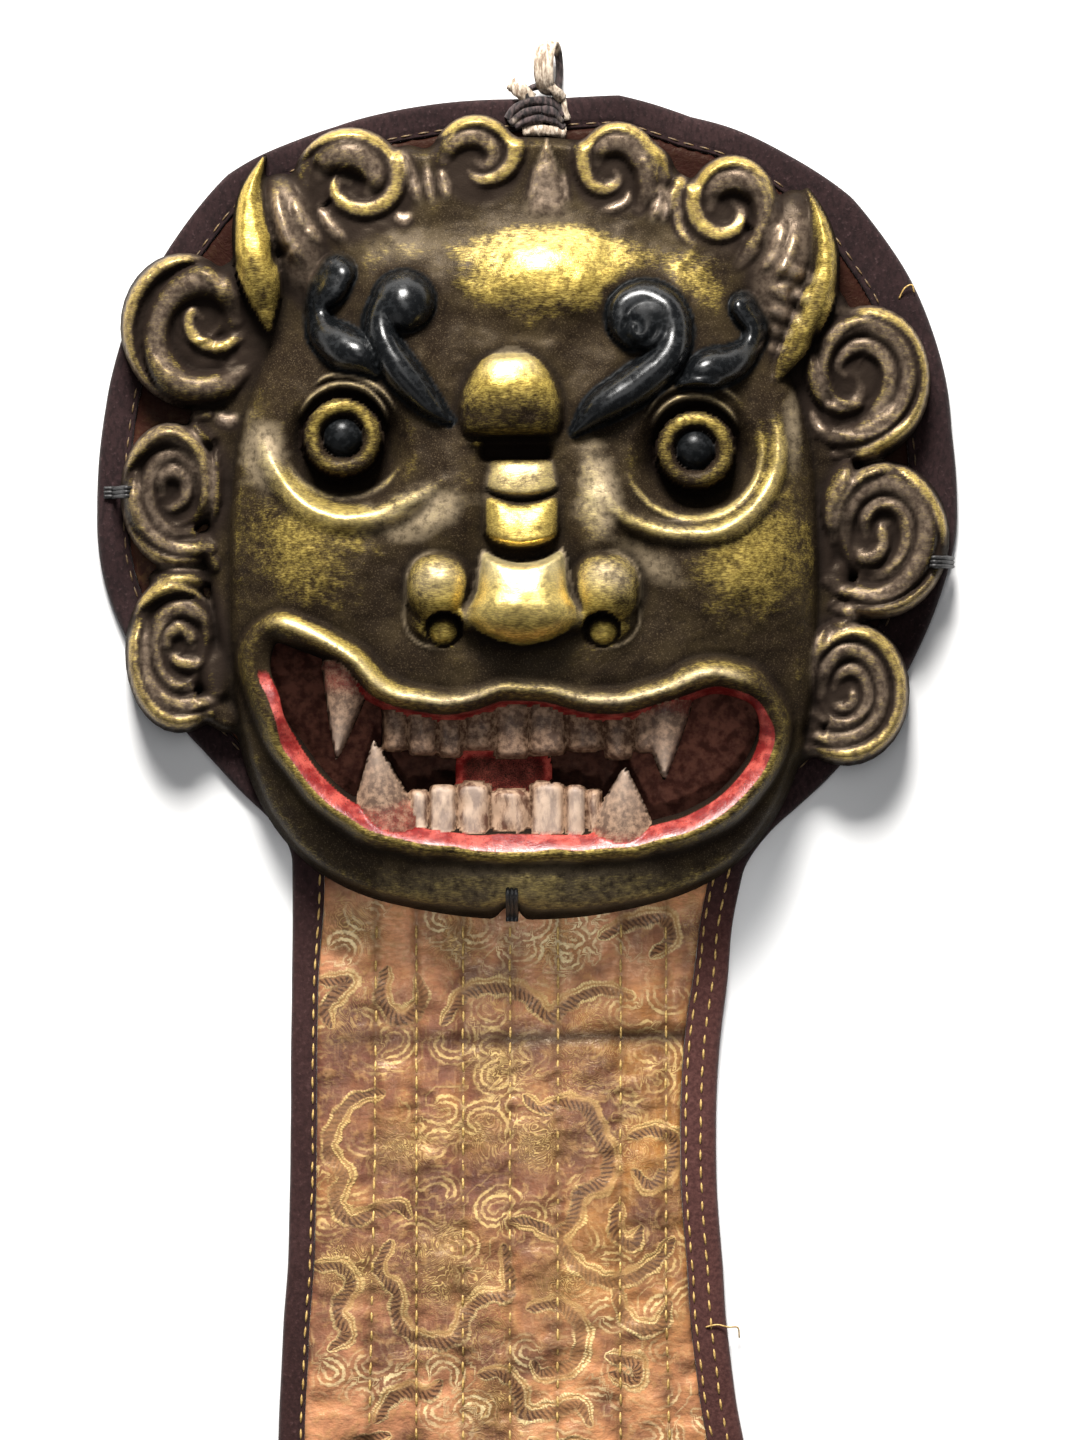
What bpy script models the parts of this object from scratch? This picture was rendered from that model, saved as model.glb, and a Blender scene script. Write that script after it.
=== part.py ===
"""A lion-demon face, moulded as one hollow shell and sewn onto a quilted cloth hanging.

The hanging lies on its back: the lining's underside is the plane z = 0, the face looks up along +Z,
its crown points along +Y and the long band of cloth runs along -Y. The origin is on the lining's
underside, below the root of the nose.

Sizes are given in millimetres, and MM turns them into metres where a mesh is made.
"""
import bmesh
import bpy
import numpy as np
from math import cos, hypot, pi, sin

for old in list(bpy.data.objects):
    bpy.data.objects.remove(old)

MM = 0.001

# ---- Layers, from the lining up ----------------------------------------------------------------
LINING_THICK = 0.9
SEWN_GAP = 0.3                 # air between two cloths, or between the face and the cloth
PANEL_LOW = LINING_THICK + SEWN_GAP
PANEL_TOP = 3.1
BINDING_TOP = 3.3
FACE_PLANE = BINDING_TOP + SEWN_GAP
WALL = 2.4                     # thickness of the moulded shell
WALL_SPREAD = 4.6              # how far a hollow of the front still shapes the smoother back

# ---- Cloth outline -----------------------------------------------------------------------------
DISC_HALF_WIDTH = 107.3
DISC_HALF_HEIGHT = 104.0
DISC_MIDDLE_Y = -2.0
DISC_POWER_ABOVE = 2.25        # squarer shoulders above the middle
DISC_POWER_BELOW = 1.7         # leaner below it
BAND_LEFT = 59.5
BAND_RIGHT = 47.5
BAND_WAIST_Y = -154.0          # where the band is narrowest
HEM_Y = -308.0
BINDING_WIDTH = 8.0
OUTLINE_STEP = 9.5

# ---- Face outline ------------------------------------------------------------------------------
RIM = 1.8                      # height of the rolled rim itself
HAIR_LEVEL = 5.0               # low ground between the locks
EDGE_ROLL = 3.2                # width over which the surface rolls down to the rim
JAW_CENTRE, JAW_RADII, JAW_POWER = (-1.5, -16.0), (74.0, 84.5), 3.0
HEAD_CENTRE, HEAD_RADII, HEAD_POWER = (-1.0, -4.0), (79.0, 98.0), 2.3
CHIN_NOTCH, CHIN_NOTCH_RADIUS = (-4.5, -101.5), 2.6

# Rolled locks: eye of the coil, radii, start angle, turns, root, half widths at root and eye
LOCKS = (
    ((-43.1, 82.6), (13.2, 12.9), 215, -1.65, (-43.0, 62.5), (4.0, 2.5)),
    ((-12.1, 88.8), (9.5, 9.7), 200, -1.70, (-17.0, 75.0), (3.2, 2.1)),
    ((21.6, 86.7), (9.3, 10.2), -25, 1.70, (25.0, 71.5), (3.2, 2.1)),
    ((50.1, 76.9), (10.1, 11.8), -40, 1.80, (52.0, 60.5), (3.5, 2.2)),
    ((-84.5, 49.0), (17.0, 19.5), -50, -1.45, (-67.0, 30.0), (5.6, 2.4)),
    ((-88.5, 6.2), (12.1, 17.8), -55, -2.05, (-75.5, -12.8), (3.8, 2.4)),
    ((-88.0, -33.4), (11.2, 19.0), -55, -2.05, (-75.0, -51.5), (3.8, 2.4)),
    ((84.0, 35.0), (15.5, 19.0), -125, 1.75, (71.0, 17.0), (4.6, 2.6)),
    ((88.3, -4.7), (16.0, 19.0), -120, 2.05, (71.0, -22.0), (4.0, 2.5)),
    ((80.7, -43.3), (13.6, 17.3), -125, 2.05, (67.0, -59.0), (3.8, 2.2)),
)
LOCK_EYE = 0.12                # a lock's last radius over its first
TURN_POINTS = 34

# Horns and brows are tapering ropes: the points of the middle line, and the half widths along it
HORNS = (
    (((-66, 89), (-69.5, 80.5), (-70, 72), (-68, 62), (-65, 53), (-60, 44)),
     (0.6, 3.2, 4.9, 5.9, 6.2, 4.6)),
    (((70, 80.5), (74, 72.5), (75, 62.5), (73, 52), (68, 42), (60, 33)),
     (0.6, 3.0, 4.6, 5.6, 5.8, 4.2)),
)
EARS = (((-58.5, 68.5), (7.6, 17.0), 16), ((66.5, 60.0), (8.6, 18.5), -12))
BROWS = (
    (((-18, 18), (-25, 28), (-32, 37), (-36, 45.5), (-35.5, 51), (-32.5, 54), (-28.5, 53),
      (-27, 50), (-29, 46.5), (-32, 47.5)),
     (1.4, 3.1, 3.9, 4.2, 4.0, 3.9, 3.6, 3.2, 2.7, 2.2)),
    (((-48, 58), (-53, 53), (-53, 44.5), (-47, 38.5), (-40.5, 36.5), (-35, 32.5)),
     (4.9, 3.4, 4.2, 5.1, 4.4, 1.4)),
    (((13.5, 18), (21, 27), (28.5, 34), (35, 41), (36, 48.5), (33, 53.5), (28, 54),
      (24, 50), (24, 45), (27, 42.5), (30, 45)),
     (1.4, 3.1, 3.9, 4.2, 4.1, 4.0, 3.8, 3.5, 3.1, 2.6, 2.0)),
    (((54.5, 51), (57, 46), (55, 40), (50, 36), (44, 34), (39, 29.5)),
     (3.7, 2.7, 3.4, 4.1, 3.7, 1.4)),
)
TUFT_CENTRE, TUFT_RADII = (4.5, 79.0), (7.6, 13.5)

# Eyes, boss and nose
SOCKETS, SOCKET_RADII, SOCKET_DEPTH = ((-45.2, 15.0), (42.3, 12.5)), (17.5, 17.0), 14.0
EYEBALLS = ((-45.2, 18.0), (42.3, 14.7))
BALL_RADIUS, IRIS_RING, IRIS_RING_HALF, PUPIL_RADIUS = 9.6, 6.4, 1.7, 4.2
LOWER_LIDS = (
    (((-67.5, 22), (-64, 11), (-51, 2), (-34.5, -1), (-22, 3), (-16.5, 11.5)),
     (1.5, 3.6, 4.6, 4.6, 4.0, 1.0), 2.6),
    (((18, 8.5), (25, -0.5), (40.5, -5), (55.5, 0), (62, 14), (60.5, 29)),
     (1.0, 3.0, 3.6, 3.6, 3.2, 1.4), 2.4),
)
BOSS_CENTRE, BOSS_RADII = (-3.8, 28.2), (12.2, 11.8)
NOSE_X = -0.9
NOSE_TIP_Y, NOSE_TIP_RADII = -22.8, (13.6, 13.4)
NOSE_WINGS = (((-22.0, -19.4), (9.2, 11.0)), ((20.6, -19.4), (9.8, 11.8)))
NOSTRIL_BEADS = ((-21.2, -30.6), (18.2, -31.2))

# Mouth: the ridge line of the lips, then what stands in it
LIP_LINE = ((-61, -28.5), (-46, -35), (-36, -44.5), (-22, -48), (-7, -45), (3, -44.5), (20.5, -48),
            (34, -44.5), (47, -41), (59, -45.5), (62, -58), (52, -73.5), (33, -82.5), (8, -85),
            (-22, -84), (-44.5, -77.5), (-59.5, -62.5), (-68, -43), (-67.5, -32))
LIP_HALF_WIDTH = 4.2
UPPER_TEETH = dict(left=-36.0, right=32.0, tip=-61.3, gum=-46.0, pitch=8.25, first=-30.75, level=20.5)
LOWER_TEETH = dict(left=-30.0, right=18.5, tip=-68.3, gum=-83.0, pitch=8.4, first=-24.25, level=19.5)
TONGUE_CENTRE, TONGUE_RADII, TONGUE_LEVEL = (-6.0, -65.5), (12.0, 6.5), 15.5
# Fangs: root, point, half width at the root, level, rise
FANGS = (((-44.5, -40.0), (-47.75, -61.75), 6.6, 19.0, 5.5),
         ((34.0, -48.5), (33.75, -67.0), 6.4, 19.0, 5.5),
         ((-35.5, -77.5), (-37.0, -57.25), 9.0, 17.5, 6.5),
         ((23.5, -81.0), (24.25, -63.75), 8.6, 17.5, 6.5))

# ---- Thread ties: hole in the rim, and where the thread reaches the cloth -----------------------
TIES = {"tie_left": ((-99.2, 5.0), (-106.2, 5.0)),
        "tie_right": ((100.4, -12.5), (106.4, -12.5)),
        "tie_chin": ((-4.0, -93.5), (-4.0, -102.5))}
THREAD_RADIUS = 0.8            # a few turns of black thread, drawn together
THREAD_HOLE_RADIUS = 1.4
THREAD_GAP = 0.6
THREAD_SIDES = 6

# ---- Hanging loop: a tape whose front run stands over its back run, knotted at the foot ---------
LOOP_MIDDLE = (5.6, 111.3, 4.5)
LOOP_HALF_HEIGHT = 6.5
LOOP_HALF_DEPTH = 3.7
LOOP_TWIST = -1.7              # how far the front run stands to one side of the back run
TAPE_HALF_WIDTH, TAPE_HALF_THICK = 1.9, 0.7
KNOT = ((3.2, 106.0, 3.7), (6.2, 3.2, 3.4))      # centre and radii
LOOP_GRAIN = 0.5               # cell size that tape, knot and sewn end are fused with
LOOP_SHARE_KEPT = 0.09
SEWN_END = ((3.1, 100.7, 5.15), (6.0, 3.5, 1.45))

GRID_PITCH = 1.0               # spacing of the shell's sample points
FACE_TRIANGLES = 6700
NOWHERE = -99.0


# ---- Helpers -----------------------------------------------------------------------------------
def smooth_max(a, b, blend):
    """The larger of two heights, with the crease between them rounded over `blend`."""
    gap = np.maximum(blend - np.abs(a - b), 0.0)
    return np.maximum(a, b) + gap * gap / (4.0 * blend)


def smooth_min(a, b, blend):
    return -smooth_max(-a, -b, blend)


def step_up(value, start, end):
    """0 before `start`, 1 after `end`, and an S curve between them."""
    t = np.clip((value - start) / (end - start), 0.0, 1.0)
    return t * t * (3.0 - 2.0 * t)


def oval(x, y, centre, radii, turn=0.0, power=2.0):
    """0 at the centre and 1 on an ellipse, or on a squarer ring where power is over 2."""
    c, s = cos(turn * pi / 180), sin(turn * pi / 180)
    dx, dy = x - centre[0], y - centre[1]
    u = np.abs(dx * c + dy * s) / radii[0]
    v = np.abs(dy * c - dx * s) / radii[1]
    return (u ** power + v ** power) ** (1.0 / power)


def dome(r):
    """Round cap: 1 at the centre, 0 from the ring outwards."""
    return np.sqrt(np.maximum(1.0 - r * r, 0.0))


def mound(r):
    """Soft cap that meets its surroundings flat."""
    return np.clip(1.0 - r * r, 0.0, 1.0) ** 2


def ring_distance(x, y, centre, radii, power):
    """Signed distance to a superellipse, negative inside it."""
    u = np.abs((x - centre[0]) / radii[0]) + 1e-9
    v = np.abs((y - centre[1]) / radii[1]) + 1e-9
    size = (u ** power + v ** power) ** (1.0 / power)
    slope = np.hypot(u ** (power - 1) / radii[0], v ** (power - 1) / radii[1]) * size ** (1.0 - power)
    return (size - 1.0) / slope


def curve_through(points, samples=8, closed=False):
    """Smooth curve through the points, with `samples` steps between each two."""
    p = np.asarray(points, float)
    if closed:
        p = np.vstack((p[-1], p, p[0], p[1]))
    else:
        p = np.vstack((2 * p[0] - p[1], p, 2 * p[-1] - p[-2]))
    t = np.linspace(0, 1, samples, endpoint=False)[:, None]
    spans = [0.5 * (2 * b + (c - a) * t + (2 * a - 5 * b + 4 * c - d) * t ** 2
                    + (3 * b - a - 3 * c + d) * t ** 3)
             for a, b, c, d in zip(p[:-3], p[1:-2], p[2:-1], p[3:])]
    return np.vstack(spans + [p[-2][None, :]])


def nearest_on(x, y, path):
    """Distance to a path, and how far along it the nearest point lies (0 to 1)."""
    best = np.full(x.shape, np.inf)
    along = np.zeros(x.shape)
    lengths = np.hypot(*np.diff(path, axis=0).T)
    reach = np.concatenate(([0.0], np.cumsum(lengths))) / lengths.sum()
    for (ax, ay), (bx, by), start, stop in zip(path, np.diff(path, axis=0), reach, reach[1:]):
        t = np.clip(((x - ax) * bx + (y - ay) * by) / max(bx * bx + by * by, 1e-12), 0, 1)
        distance = np.hypot(x - ax - t * bx, y - ay - t * by)
        nearer = distance < best
        best = np.where(nearer, distance, best)
        along = np.where(nearer, start + t * (stop - start), along)
    return best, along


def inside_of(x, y, path):
    """Whether each point lies inside a closed path."""
    inside = np.zeros(x.shape, bool)
    for (x0, y0), (x1, y1) in zip(path, np.roll(path, -1, axis=0)):
        if y0 != y1:
            inside ^= ((y0 > y) != (y1 > y)) & (x < x0 + (y - y0) * (x1 - x0) / (y1 - y0))
    return inside


def strand(x, y, path, half_widths):
    """For a tapering strand: distance over half width (1 at its side), distance beyond the side,
    place along it, and the half width there."""
    widths = curve_through(np.asarray(half_widths, float)[:, None], 6)[:, 0]
    reach = 3.0 * max(half_widths)
    low, high = path.min(axis=0) - reach, path.max(axis=0) + reach
    near = (x > low[0]) & (x < high[0]) & (y > low[1]) & (y < high[1])
    ratio, beyond = np.full(x.shape, 9.0), np.full(x.shape, 99.0)
    along, half = np.zeros(x.shape), np.ones(x.shape)
    if near.any():
        distance, place = nearest_on(x[near], y[near], path)
        half[near] = np.interp(place, np.linspace(0, 1, len(widths)), widths)
        along[near] = place
        ratio[near] = distance / half[near]
        beyond[near] = distance - half[near]
    return ratio, beyond, along, half


def lock_path(eye, radii, start, turns, root):
    """A lock's middle line: a short lead from its root, then an elliptical coil that closes in."""
    t = np.linspace(0, 1, int(TURN_POINTS * abs(turns)))
    angle = start * pi / 180 + 2 * pi * turns * t
    size = 1 - (1 - LOCK_EYE) * t
    coil = np.stack((eye[0] + radii[0] * size * np.cos(angle), eye[1] + radii[1] * size * np.sin(angle)), 1)
    lead = curve_through([root, coil[0], coil[5]], 6)[:6]
    return np.vstack((lead, coil)), coil[:TURN_POINTS]


# ---- The face ----------------------------------------------------------------------------------
def face_outline(x, y):
    """Signed distance to the edge of the face, its locks and its horns, negative inside."""
    jaw = ring_distance(x, y, JAW_CENTRE, JAW_RADII, JAW_POWER)
    head = ring_distance(x, y, HEAD_CENTRE, HEAD_RADII, HEAD_POWER)
    shape = smooth_min(jaw, head, 2.0)
    notch = CHIN_NOTCH_RADIUS - np.hypot(x - CHIN_NOTCH[0], y - CHIN_NOTCH[1])
    shape = smooth_max(shape, notch, 3.0)
    for eye, radii, start, turns, root, half_widths in LOCKS:
        path, outer_turn = lock_path(eye, radii, start, turns, root)
        beyond = strand(x, y, path, half_widths)[1]
        filled = np.where(inside_of(x, y, outer_turn), np.minimum(beyond, -2.0), beyond)
        shape = smooth_min(shape, filled, 2.0)
    for points, half_widths in HORNS:
        shape = smooth_min(shape, strand(x, y, curve_through(points), half_widths)[1], 2.0)
    return shape


def hair_relief(x, y, edge):
    """Height of the hair: low ground, rolled locks, the tuft, ears and horns."""
    z = HAIR_LEVEL + 3.5 * step_up(edge, 4, 16)
    for eye, radii, start, turns, root, half_widths in LOCKS:
        path = lock_path(eye, radii, start, turns, root)[0]
        ratio, beyond, along, half = strand(x, y, path, half_widths)
        ditch = np.exp(-(np.maximum(beyond, 0) / 1.6) ** 2) * (beyond > -1) * step_up(along, 0.04, 0.16)
        z = z - 2.4 * ditch
        swell = 2.0 + 2.0 * mound(oval(x, y, eye, radii))
        rope = 1.45 * half * dome(ratio) * step_up(along, 0.0, 0.12)
        height = HAIR_LEVEL + swell + rope - 3 * np.maximum(ratio - 1, 0)
        z = smooth_max(z, np.where(ratio < 1.3, height, NOWHERE), 0.5)
    tuft = oval(x, y, TUFT_CENTRE, TUFT_RADII)
    z = np.maximum(z, np.where(tuft < 1, HAIR_LEVEL + 3 + 4.2 * dome(tuft) ** 0.5, NOWHERE))
    for centre, radii, turn in EARS:
        r = oval(x, y, centre, radii, turn)
        z = smooth_max(z, np.where(r < 1, HAIR_LEVEL + 2.5 + 6.0 * dome(r), NOWHERE), 1.5)
    for points, half_widths in HORNS:
        ratio, beyond, along, half = strand(x, y, curve_through(points), half_widths)
        height = HAIR_LEVEL + 3.0 + 5.0 * step_up(along, 0.05, 0.8) + 1.3 * half * dome(ratio)
        z = smooth_max(z, np.where(ratio < 1, height, NOWHERE), 1.2)
    return z


def skin_relief(x, y):
    """Height of the face itself: the vault of the head with brow, cheeks, chin and hollows."""
    power = JAW_POWER - 0.5 * (1 - step_up(-y, 0, 30))
    u, v = np.abs((x + 1.0) / 73.5), np.abs((y + 13.5) / 86.8)
    size = (u ** power + v ** power) ** (1 / power)
    crown = step_up(y, 25, 65)
    vault = np.maximum(1 - size ** 2.6, 0) ** (0.5 + 0.22 * crown)
    z = 7.0 + 17.0 * vault - (60 - 45 * crown) * np.maximum(size - 1, 0)
    swellings = (
        ((4.5, 61.0), (31, 19), 0, 7.5), ((-33, 60), (24, 16), 0, 4.0), ((42, 59), (24, 16), 0, 4.0),
        ((-35, 44), (24, 20), 0, 2.5), ((40, 44), (24, 20), 0, 2.5),
        ((-52, -14), (25, 26), 0, 4.0), ((52, -14), (25, 27), 0, 4.0), ((0, -36), (46, 22), 0, 4.0),
        ((-19, -1), (10, 24), -4, 3.4), ((17, -1), (10, 24), 4, 3.4), ((2, -93), (52, 12), 0, 3.0),
        ((-17, 42), (8, 17), 24, -3.0), ((13, 40), (8, 17), -22, -3.0),
    )
    for centre, radii, turn, height in swellings:
        z = z + height * mound(oval(x, y, centre, radii, turn))
    return z


def eye_relief(x, y, z):
    """Cuts the sockets into the skin, and sets the lids and the ringed eyeballs in them."""
    for centre in SOCKETS:
        z = z - SOCKET_DEPTH * mound(oval(x, y, centre, SOCKET_RADII)) ** 0.8
        distance = np.hypot(x - centre[0], y - centre[1])
        z = z + 2.2 * np.exp(-((distance - 12.4) / 1.1) ** 2) * step_up(y - centre[1], -2, 7)
    for points, half_widths, height in LOWER_LIDS:
        ratio, beyond, along, half = strand(x, y, curve_through(points), half_widths)
        z = z + height * mound(ratio * 0.8) * step_up(along, 0, 0.2) * (1 - step_up(along, 0.8, 1))
    for centre in EYEBALLS:
        r = np.hypot(x - centre[0], y - centre[1])
        ball = np.where(r < PUPIL_RADIUS + 0.5, 19.6, 13.5 + 9.0 * dome(r / BALL_RADIUS))
        from_ring = (r - IRIS_RING) / IRIS_RING_HALF
        ball = np.where(np.abs(from_ring) < 1, np.maximum(ball, 21.5 + 2.2 * dome(from_ring)), ball)
        ball = np.where(r < PUPIL_RADIUS, 20.2 + 3.6 * dome(r / PUPIL_RADIUS), ball)
        z = np.where(r < BALL_RADIUS, ball, z)
    return z


def nose_relief(x, y, z):
    """Adds the boss between the eyes, the two folds of the nose, its tip, wings and nostrils."""
    r = oval(x, y, BOSS_CENTRE, BOSS_RADII, power=2.4)
    z = smooth_max(z, np.where(r < 1, 22.5 + 10.0 * dome(r ** 1.25), NOWHERE), 1.2)
    from_axis = x - NOSE_X
    sag = np.maximum(1 - (from_axis / 10.0) ** 2, -0.3)
    first_crease, second_crease, bridge_top = 4.6 - 3.4 * sag, -8.0 - 4.0 * sag, 12.0
    upper = np.clip((bridge_top - y) / (bridge_top - first_crease), 0, 1)
    lower = np.clip((first_crease - y) / (first_crease - second_crease), 0, 1)
    folds = np.where(y > first_crease, 6.0 + 3.5 * np.sin(pi * upper ** 0.75) ** 0.6,
                     7.5 + 5.5 * np.sin(pi * lower ** 0.8) ** 0.6)
    side = np.maximum(1 - np.abs(from_axis / 10.6) ** 3.2, 0) ** 0.5
    bridge = (y < bridge_top) & (y > second_crease) & (np.abs(from_axis) < 10.6)
    z = smooth_max(z, np.where(bridge, 19.0 + folds * side, NOWHERE), 1.2)
    r = oval(x, y, (NOSE_X, NOSE_TIP_Y), NOSE_TIP_RADII, power=2.4)
    z = smooth_max(z, np.where((r < 1) & (y < second_crease), 24.5 + 15.5 * dome(r ** 1.25), NOWHERE), 1.0)
    for centre, radii in NOSE_WINGS:
        r = oval(x, y, centre, radii, power=2.1)
        z = smooth_max(z, np.where(r < 1, 23.5 + 10.5 * dome(r ** 1.15), NOWHERE), 1.0)
    for bx, by in NOSTRIL_BEADS:
        hole = step_up(1.2 - oval(x, y, (bx, by), (6.0, 4.4)), 0, 0.3)
        z = z * (1 - hole) + np.minimum(z, 22.5) * hole
        bead = oval(x, y, (bx, by + 0.3), (4.4, 3.8))
        z = np.maximum(z, np.where(bead < 1, 23.0 + 6.0 * dome(bead), NOWHERE))
    return z


def brow_relief(x, y, z):
    """Adds the curled black brows."""
    lift = np.zeros(x.shape)
    for points, half_widths in BROWS:
        ratio, beyond, along, half = strand(x, y, curve_through(points), half_widths)
        lift = np.maximum(lift, 1.55 * half * dome(ratio))
    return z + lift


def tooth_row(x, y, left, right, tip, gum, pitch, first, level):
    """Depth inside a row of flat teeth, and their height with a groove between each two."""
    low, high = min(tip, gum), max(tip, gum)
    inside = np.minimum(np.minimum(y - low, high - y), np.minimum(x - left, right - x))
    from_groove = np.abs((x - first + pitch / 2) % pitch - pitch / 2)
    height = level - 1.5 * np.exp(-(from_groove / 0.8) ** 2) + (2 * from_groove / pitch) ** 0.5
    return inside, height - 2.4 * (1 - np.clip(inside / 1.8, 0, 1)) ** 2


def fang(x, y, root, point, half_width, level, rise):
    """Depth inside a fang, and its height: a half cone that narrows to its point."""
    ax, ay = root
    bx, by = point[0] - ax, point[1] - ay
    length = hypot(bx, by)
    t = ((x - ax) * bx + (y - ay) * by) / length ** 2
    side = np.abs((x - ax) * by - (y - ay) * bx) / length
    half = half_width * (1 - np.clip(t, 0, 1)) ** 0.85 + 0.3
    inside = np.minimum(half - side, np.minimum(1.02 - t, t + 0.1) * length)
    return inside, level + rise * dome(np.clip(side / half, 0, 1)) * (1 - 0.3 * np.clip(t, 0, 1))


def mouth_relief(x, y, z):
    """Adds the lips, teeth and tongue. Also returns a distance that is positive in the openings."""
    loop = curve_through(LIP_LINE, closed=True)
    distance = nearest_on(x, y, loop)[0]
    depth = np.where(inside_of(x, y, loop), distance, -distance)
    upper = step_up(y, -62, -50)
    half = LIP_HALF_WIDTH + 0.4 * upper
    ridge = 25.0 + 4.5 * upper - 5.5 * step_up(np.abs(x), 40, 72)
    outer = ridge - 7 * (np.maximum(-depth, 0) / half) ** 2
    outside = smooth_max(z, np.where(-depth < 1.6 * half, outer, NOWHERE), 2.0)
    steepness = 0.42 + 0.65 * upper * (1 - step_up(np.abs(x + 2), 44, 60))
    within = np.maximum(ridge - steepness * np.maximum(depth, 0) ** 1.5, 13.0)
    solid = np.full(x.shape, NOWHERE)
    parts = [tooth_row(x, y, **UPPER_TEETH), tooth_row(x, y, **LOWER_TEETH)]
    parts += [fang(x, y, *each) for each in FANGS]
    parts.append((-ring_distance(x, y, TONGUE_CENTRE, TONGUE_RADII, 4.0),
                  TONGUE_LEVEL + 1.4 * dome(oval(x, y, TONGUE_CENTRE, TONGUE_RADII))))
    for inside, height in parts:
        within = np.maximum(within, np.where(inside > 0, height, NOWHERE))
        solid = np.maximum(solid, inside)
    opening = np.minimum(depth - (5.8 - 1.4 * upper), -solid)
    return np.where(depth > 0, within, outside), opening


def face_relief(x, y):
    """Height above the rim plane, distance inside the outline, and distance inside the openings."""
    edge = -face_outline(x, y)
    skin = brow_relief(x, y, nose_relief(x, y, eye_relief(x, y, skin_relief(x, y))))
    z = smooth_max(hair_relief(x, y, edge), skin, 2.0 + 5.0 * step_up(y, 45, 70))
    z, opening = mouth_relief(x, y, z)
    roll = dome(1 - np.clip(edge / EDGE_ROLL, 0, 1))
    return RIM + (z - RIM) * roll, edge, opening


def hollowed(front, keep, pitch):
    """The back of a shell, smoother than its front: the front lowered by a flattened ball, WALL high
    and WALL_SPREAD wide, that rolls along under it."""
    source = np.where(keep, front, np.inf)
    reach = int(WALL_SPREAD / pitch)
    padded = np.pad(source, reach, constant_values=np.inf)
    rows, columns = front.shape
    back = np.full(front.shape, np.inf)
    for i in range(-reach, reach + 1):
        for j in range(-reach, reach + 1):
            away = pitch * hypot(i, j) / WALL_SPREAD
            if away < 1:
                shifted = padded[reach + i:reach + i + rows, reach + j:reach + j + columns]
                back = np.minimum(back, shifted - WALL * (1 - away ** 2) ** 0.5)
    return np.maximum(back, 0.0)


def fitted_grid(xs, ys, distance):
    """A triangle grid of the area where `distance` is positive, its edge points moved onto the edge.

    Of the two ends of each grid line that crosses the edge, the nearer one is moved along the
    slope of `distance`. Returns the moved x and y, and the triangles as grid indices."""
    x, y = np.meshgrid(xs, ys)
    slope_y, slope_x = np.gradient(distance, ys, xs)
    steep = np.maximum(slope_x ** 2 + slope_y ** 2, 0.25)
    on_edge = np.zeros(distance.shape, bool)
    size = np.abs(distance)
    for a, b in (((slice(None), slice(0, -1)), (slice(None), slice(1, None))),
                 ((slice(0, -1), slice(None)), (slice(1, None), slice(None))),
                 ((slice(0, -1), slice(0, -1)), (slice(1, None), slice(1, None)))):
        crossing = (distance[a] > 0) != (distance[b] > 0)
        on_edge[a] |= crossing & (size[a] <= size[b])
        on_edge[b] |= crossing & (size[b] < size[a])
    shift = np.where(on_edge, -distance / steep, 0.0)
    limit = 0.45 * (xs[1] - xs[0])
    x = x + np.clip(shift * slope_x, -limit, limit)
    y = y + np.clip(shift * slope_y, -limit, limit)
    index = np.arange(x.size).reshape(x.shape)
    low_left, low_right = index[:-1, :-1].ravel(), index[:-1, 1:].ravel()
    top_left, top_right = index[1:, :-1].ravel(), index[1:, 1:].ravel()
    triangles = np.vstack((np.stack((low_left, low_right, top_right), 1),
                           np.stack((low_left, top_right, top_left), 1)))
    state = np.where(on_edge, 0, np.where(distance > 0, 1, -1)).ravel()[triangles]
    middle = distance.ravel()[triangles].mean(axis=1)
    keep = (state.min(axis=1) >= 0) & ((state.max(axis=1) == 1) | (middle > 0))
    return x, y, without_pinches(triangles[keep])


def boundary_edges(triangles):
    """Edges with a triangle on one side only, each in its triangle's direction."""
    edges = np.vstack((triangles[:, [0, 1]], triangles[:, [1, 2]], triangles[:, [2, 0]]))
    once = np.unique(np.sort(edges, axis=1), axis=0, return_inverse=True, return_counts=True)
    return edges[once[2][once[1].ravel()] == 1]


def without_pinches(triangles):
    """Drops the triangles round each point where two stretches of edge touch."""
    while True:
        points, uses = np.unique(boundary_edges(triangles), return_counts=True)
        pinched = points[uses > 2]
        if not len(pinched):
            return triangles
        triangles = triangles[~np.isin(triangles, pinched).any(axis=1)]


def shell_mesh(name, x, y, front, back, triangles):
    """A closed shell: front and back on the same triangles, joined by walls at every edge."""
    used, flat = np.unique(triangles, return_inverse=True)
    flat = flat.reshape(triangles.shape)
    count = len(used)
    low = np.stack((x.ravel()[used], y.ravel()[used], back.ravel()[used]), 1)
    high = np.stack((x.ravel()[used], y.ravel()[used], front.ravel()[used]), 1)
    a, b = boundary_edges(flat).T
    walls = np.stack((b, a, a + count, b + count), 1)
    faces = [tuple(f) for f in flat.tolist()] + [tuple(f) for f in (flat[:, ::-1] + count).tolist()]
    faces += [tuple(f) for f in walls.tolist()]
    mesh = bpy.data.meshes.new(name)
    mesh.from_pydata((np.vstack((high, low)) * MM).tolist(), [], faces)
    return mesh


def part_object(name, mesh, colour, roughness, metallic=0.0):
    """Puts a mesh into the scene as a named sub-part with a material of its own."""
    material = bpy.data.materials.new(name)
    material.use_nodes = True
    shader = material.node_tree.nodes["Principled BSDF"]
    shader.inputs["Base Color"].default_value = (*colour, 1.0)
    shader.inputs["Roughness"].default_value = roughness
    shader.inputs["Metallic"].default_value = metallic
    mesh.materials.append(material)
    mesh.shade_smooth()
    mesh.set_sharp_from_angle(angle=pi / 6)
    piece = bpy.data.objects.new(name, mesh)
    bpy.context.scene.collection.objects.link(piece)
    return piece


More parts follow.
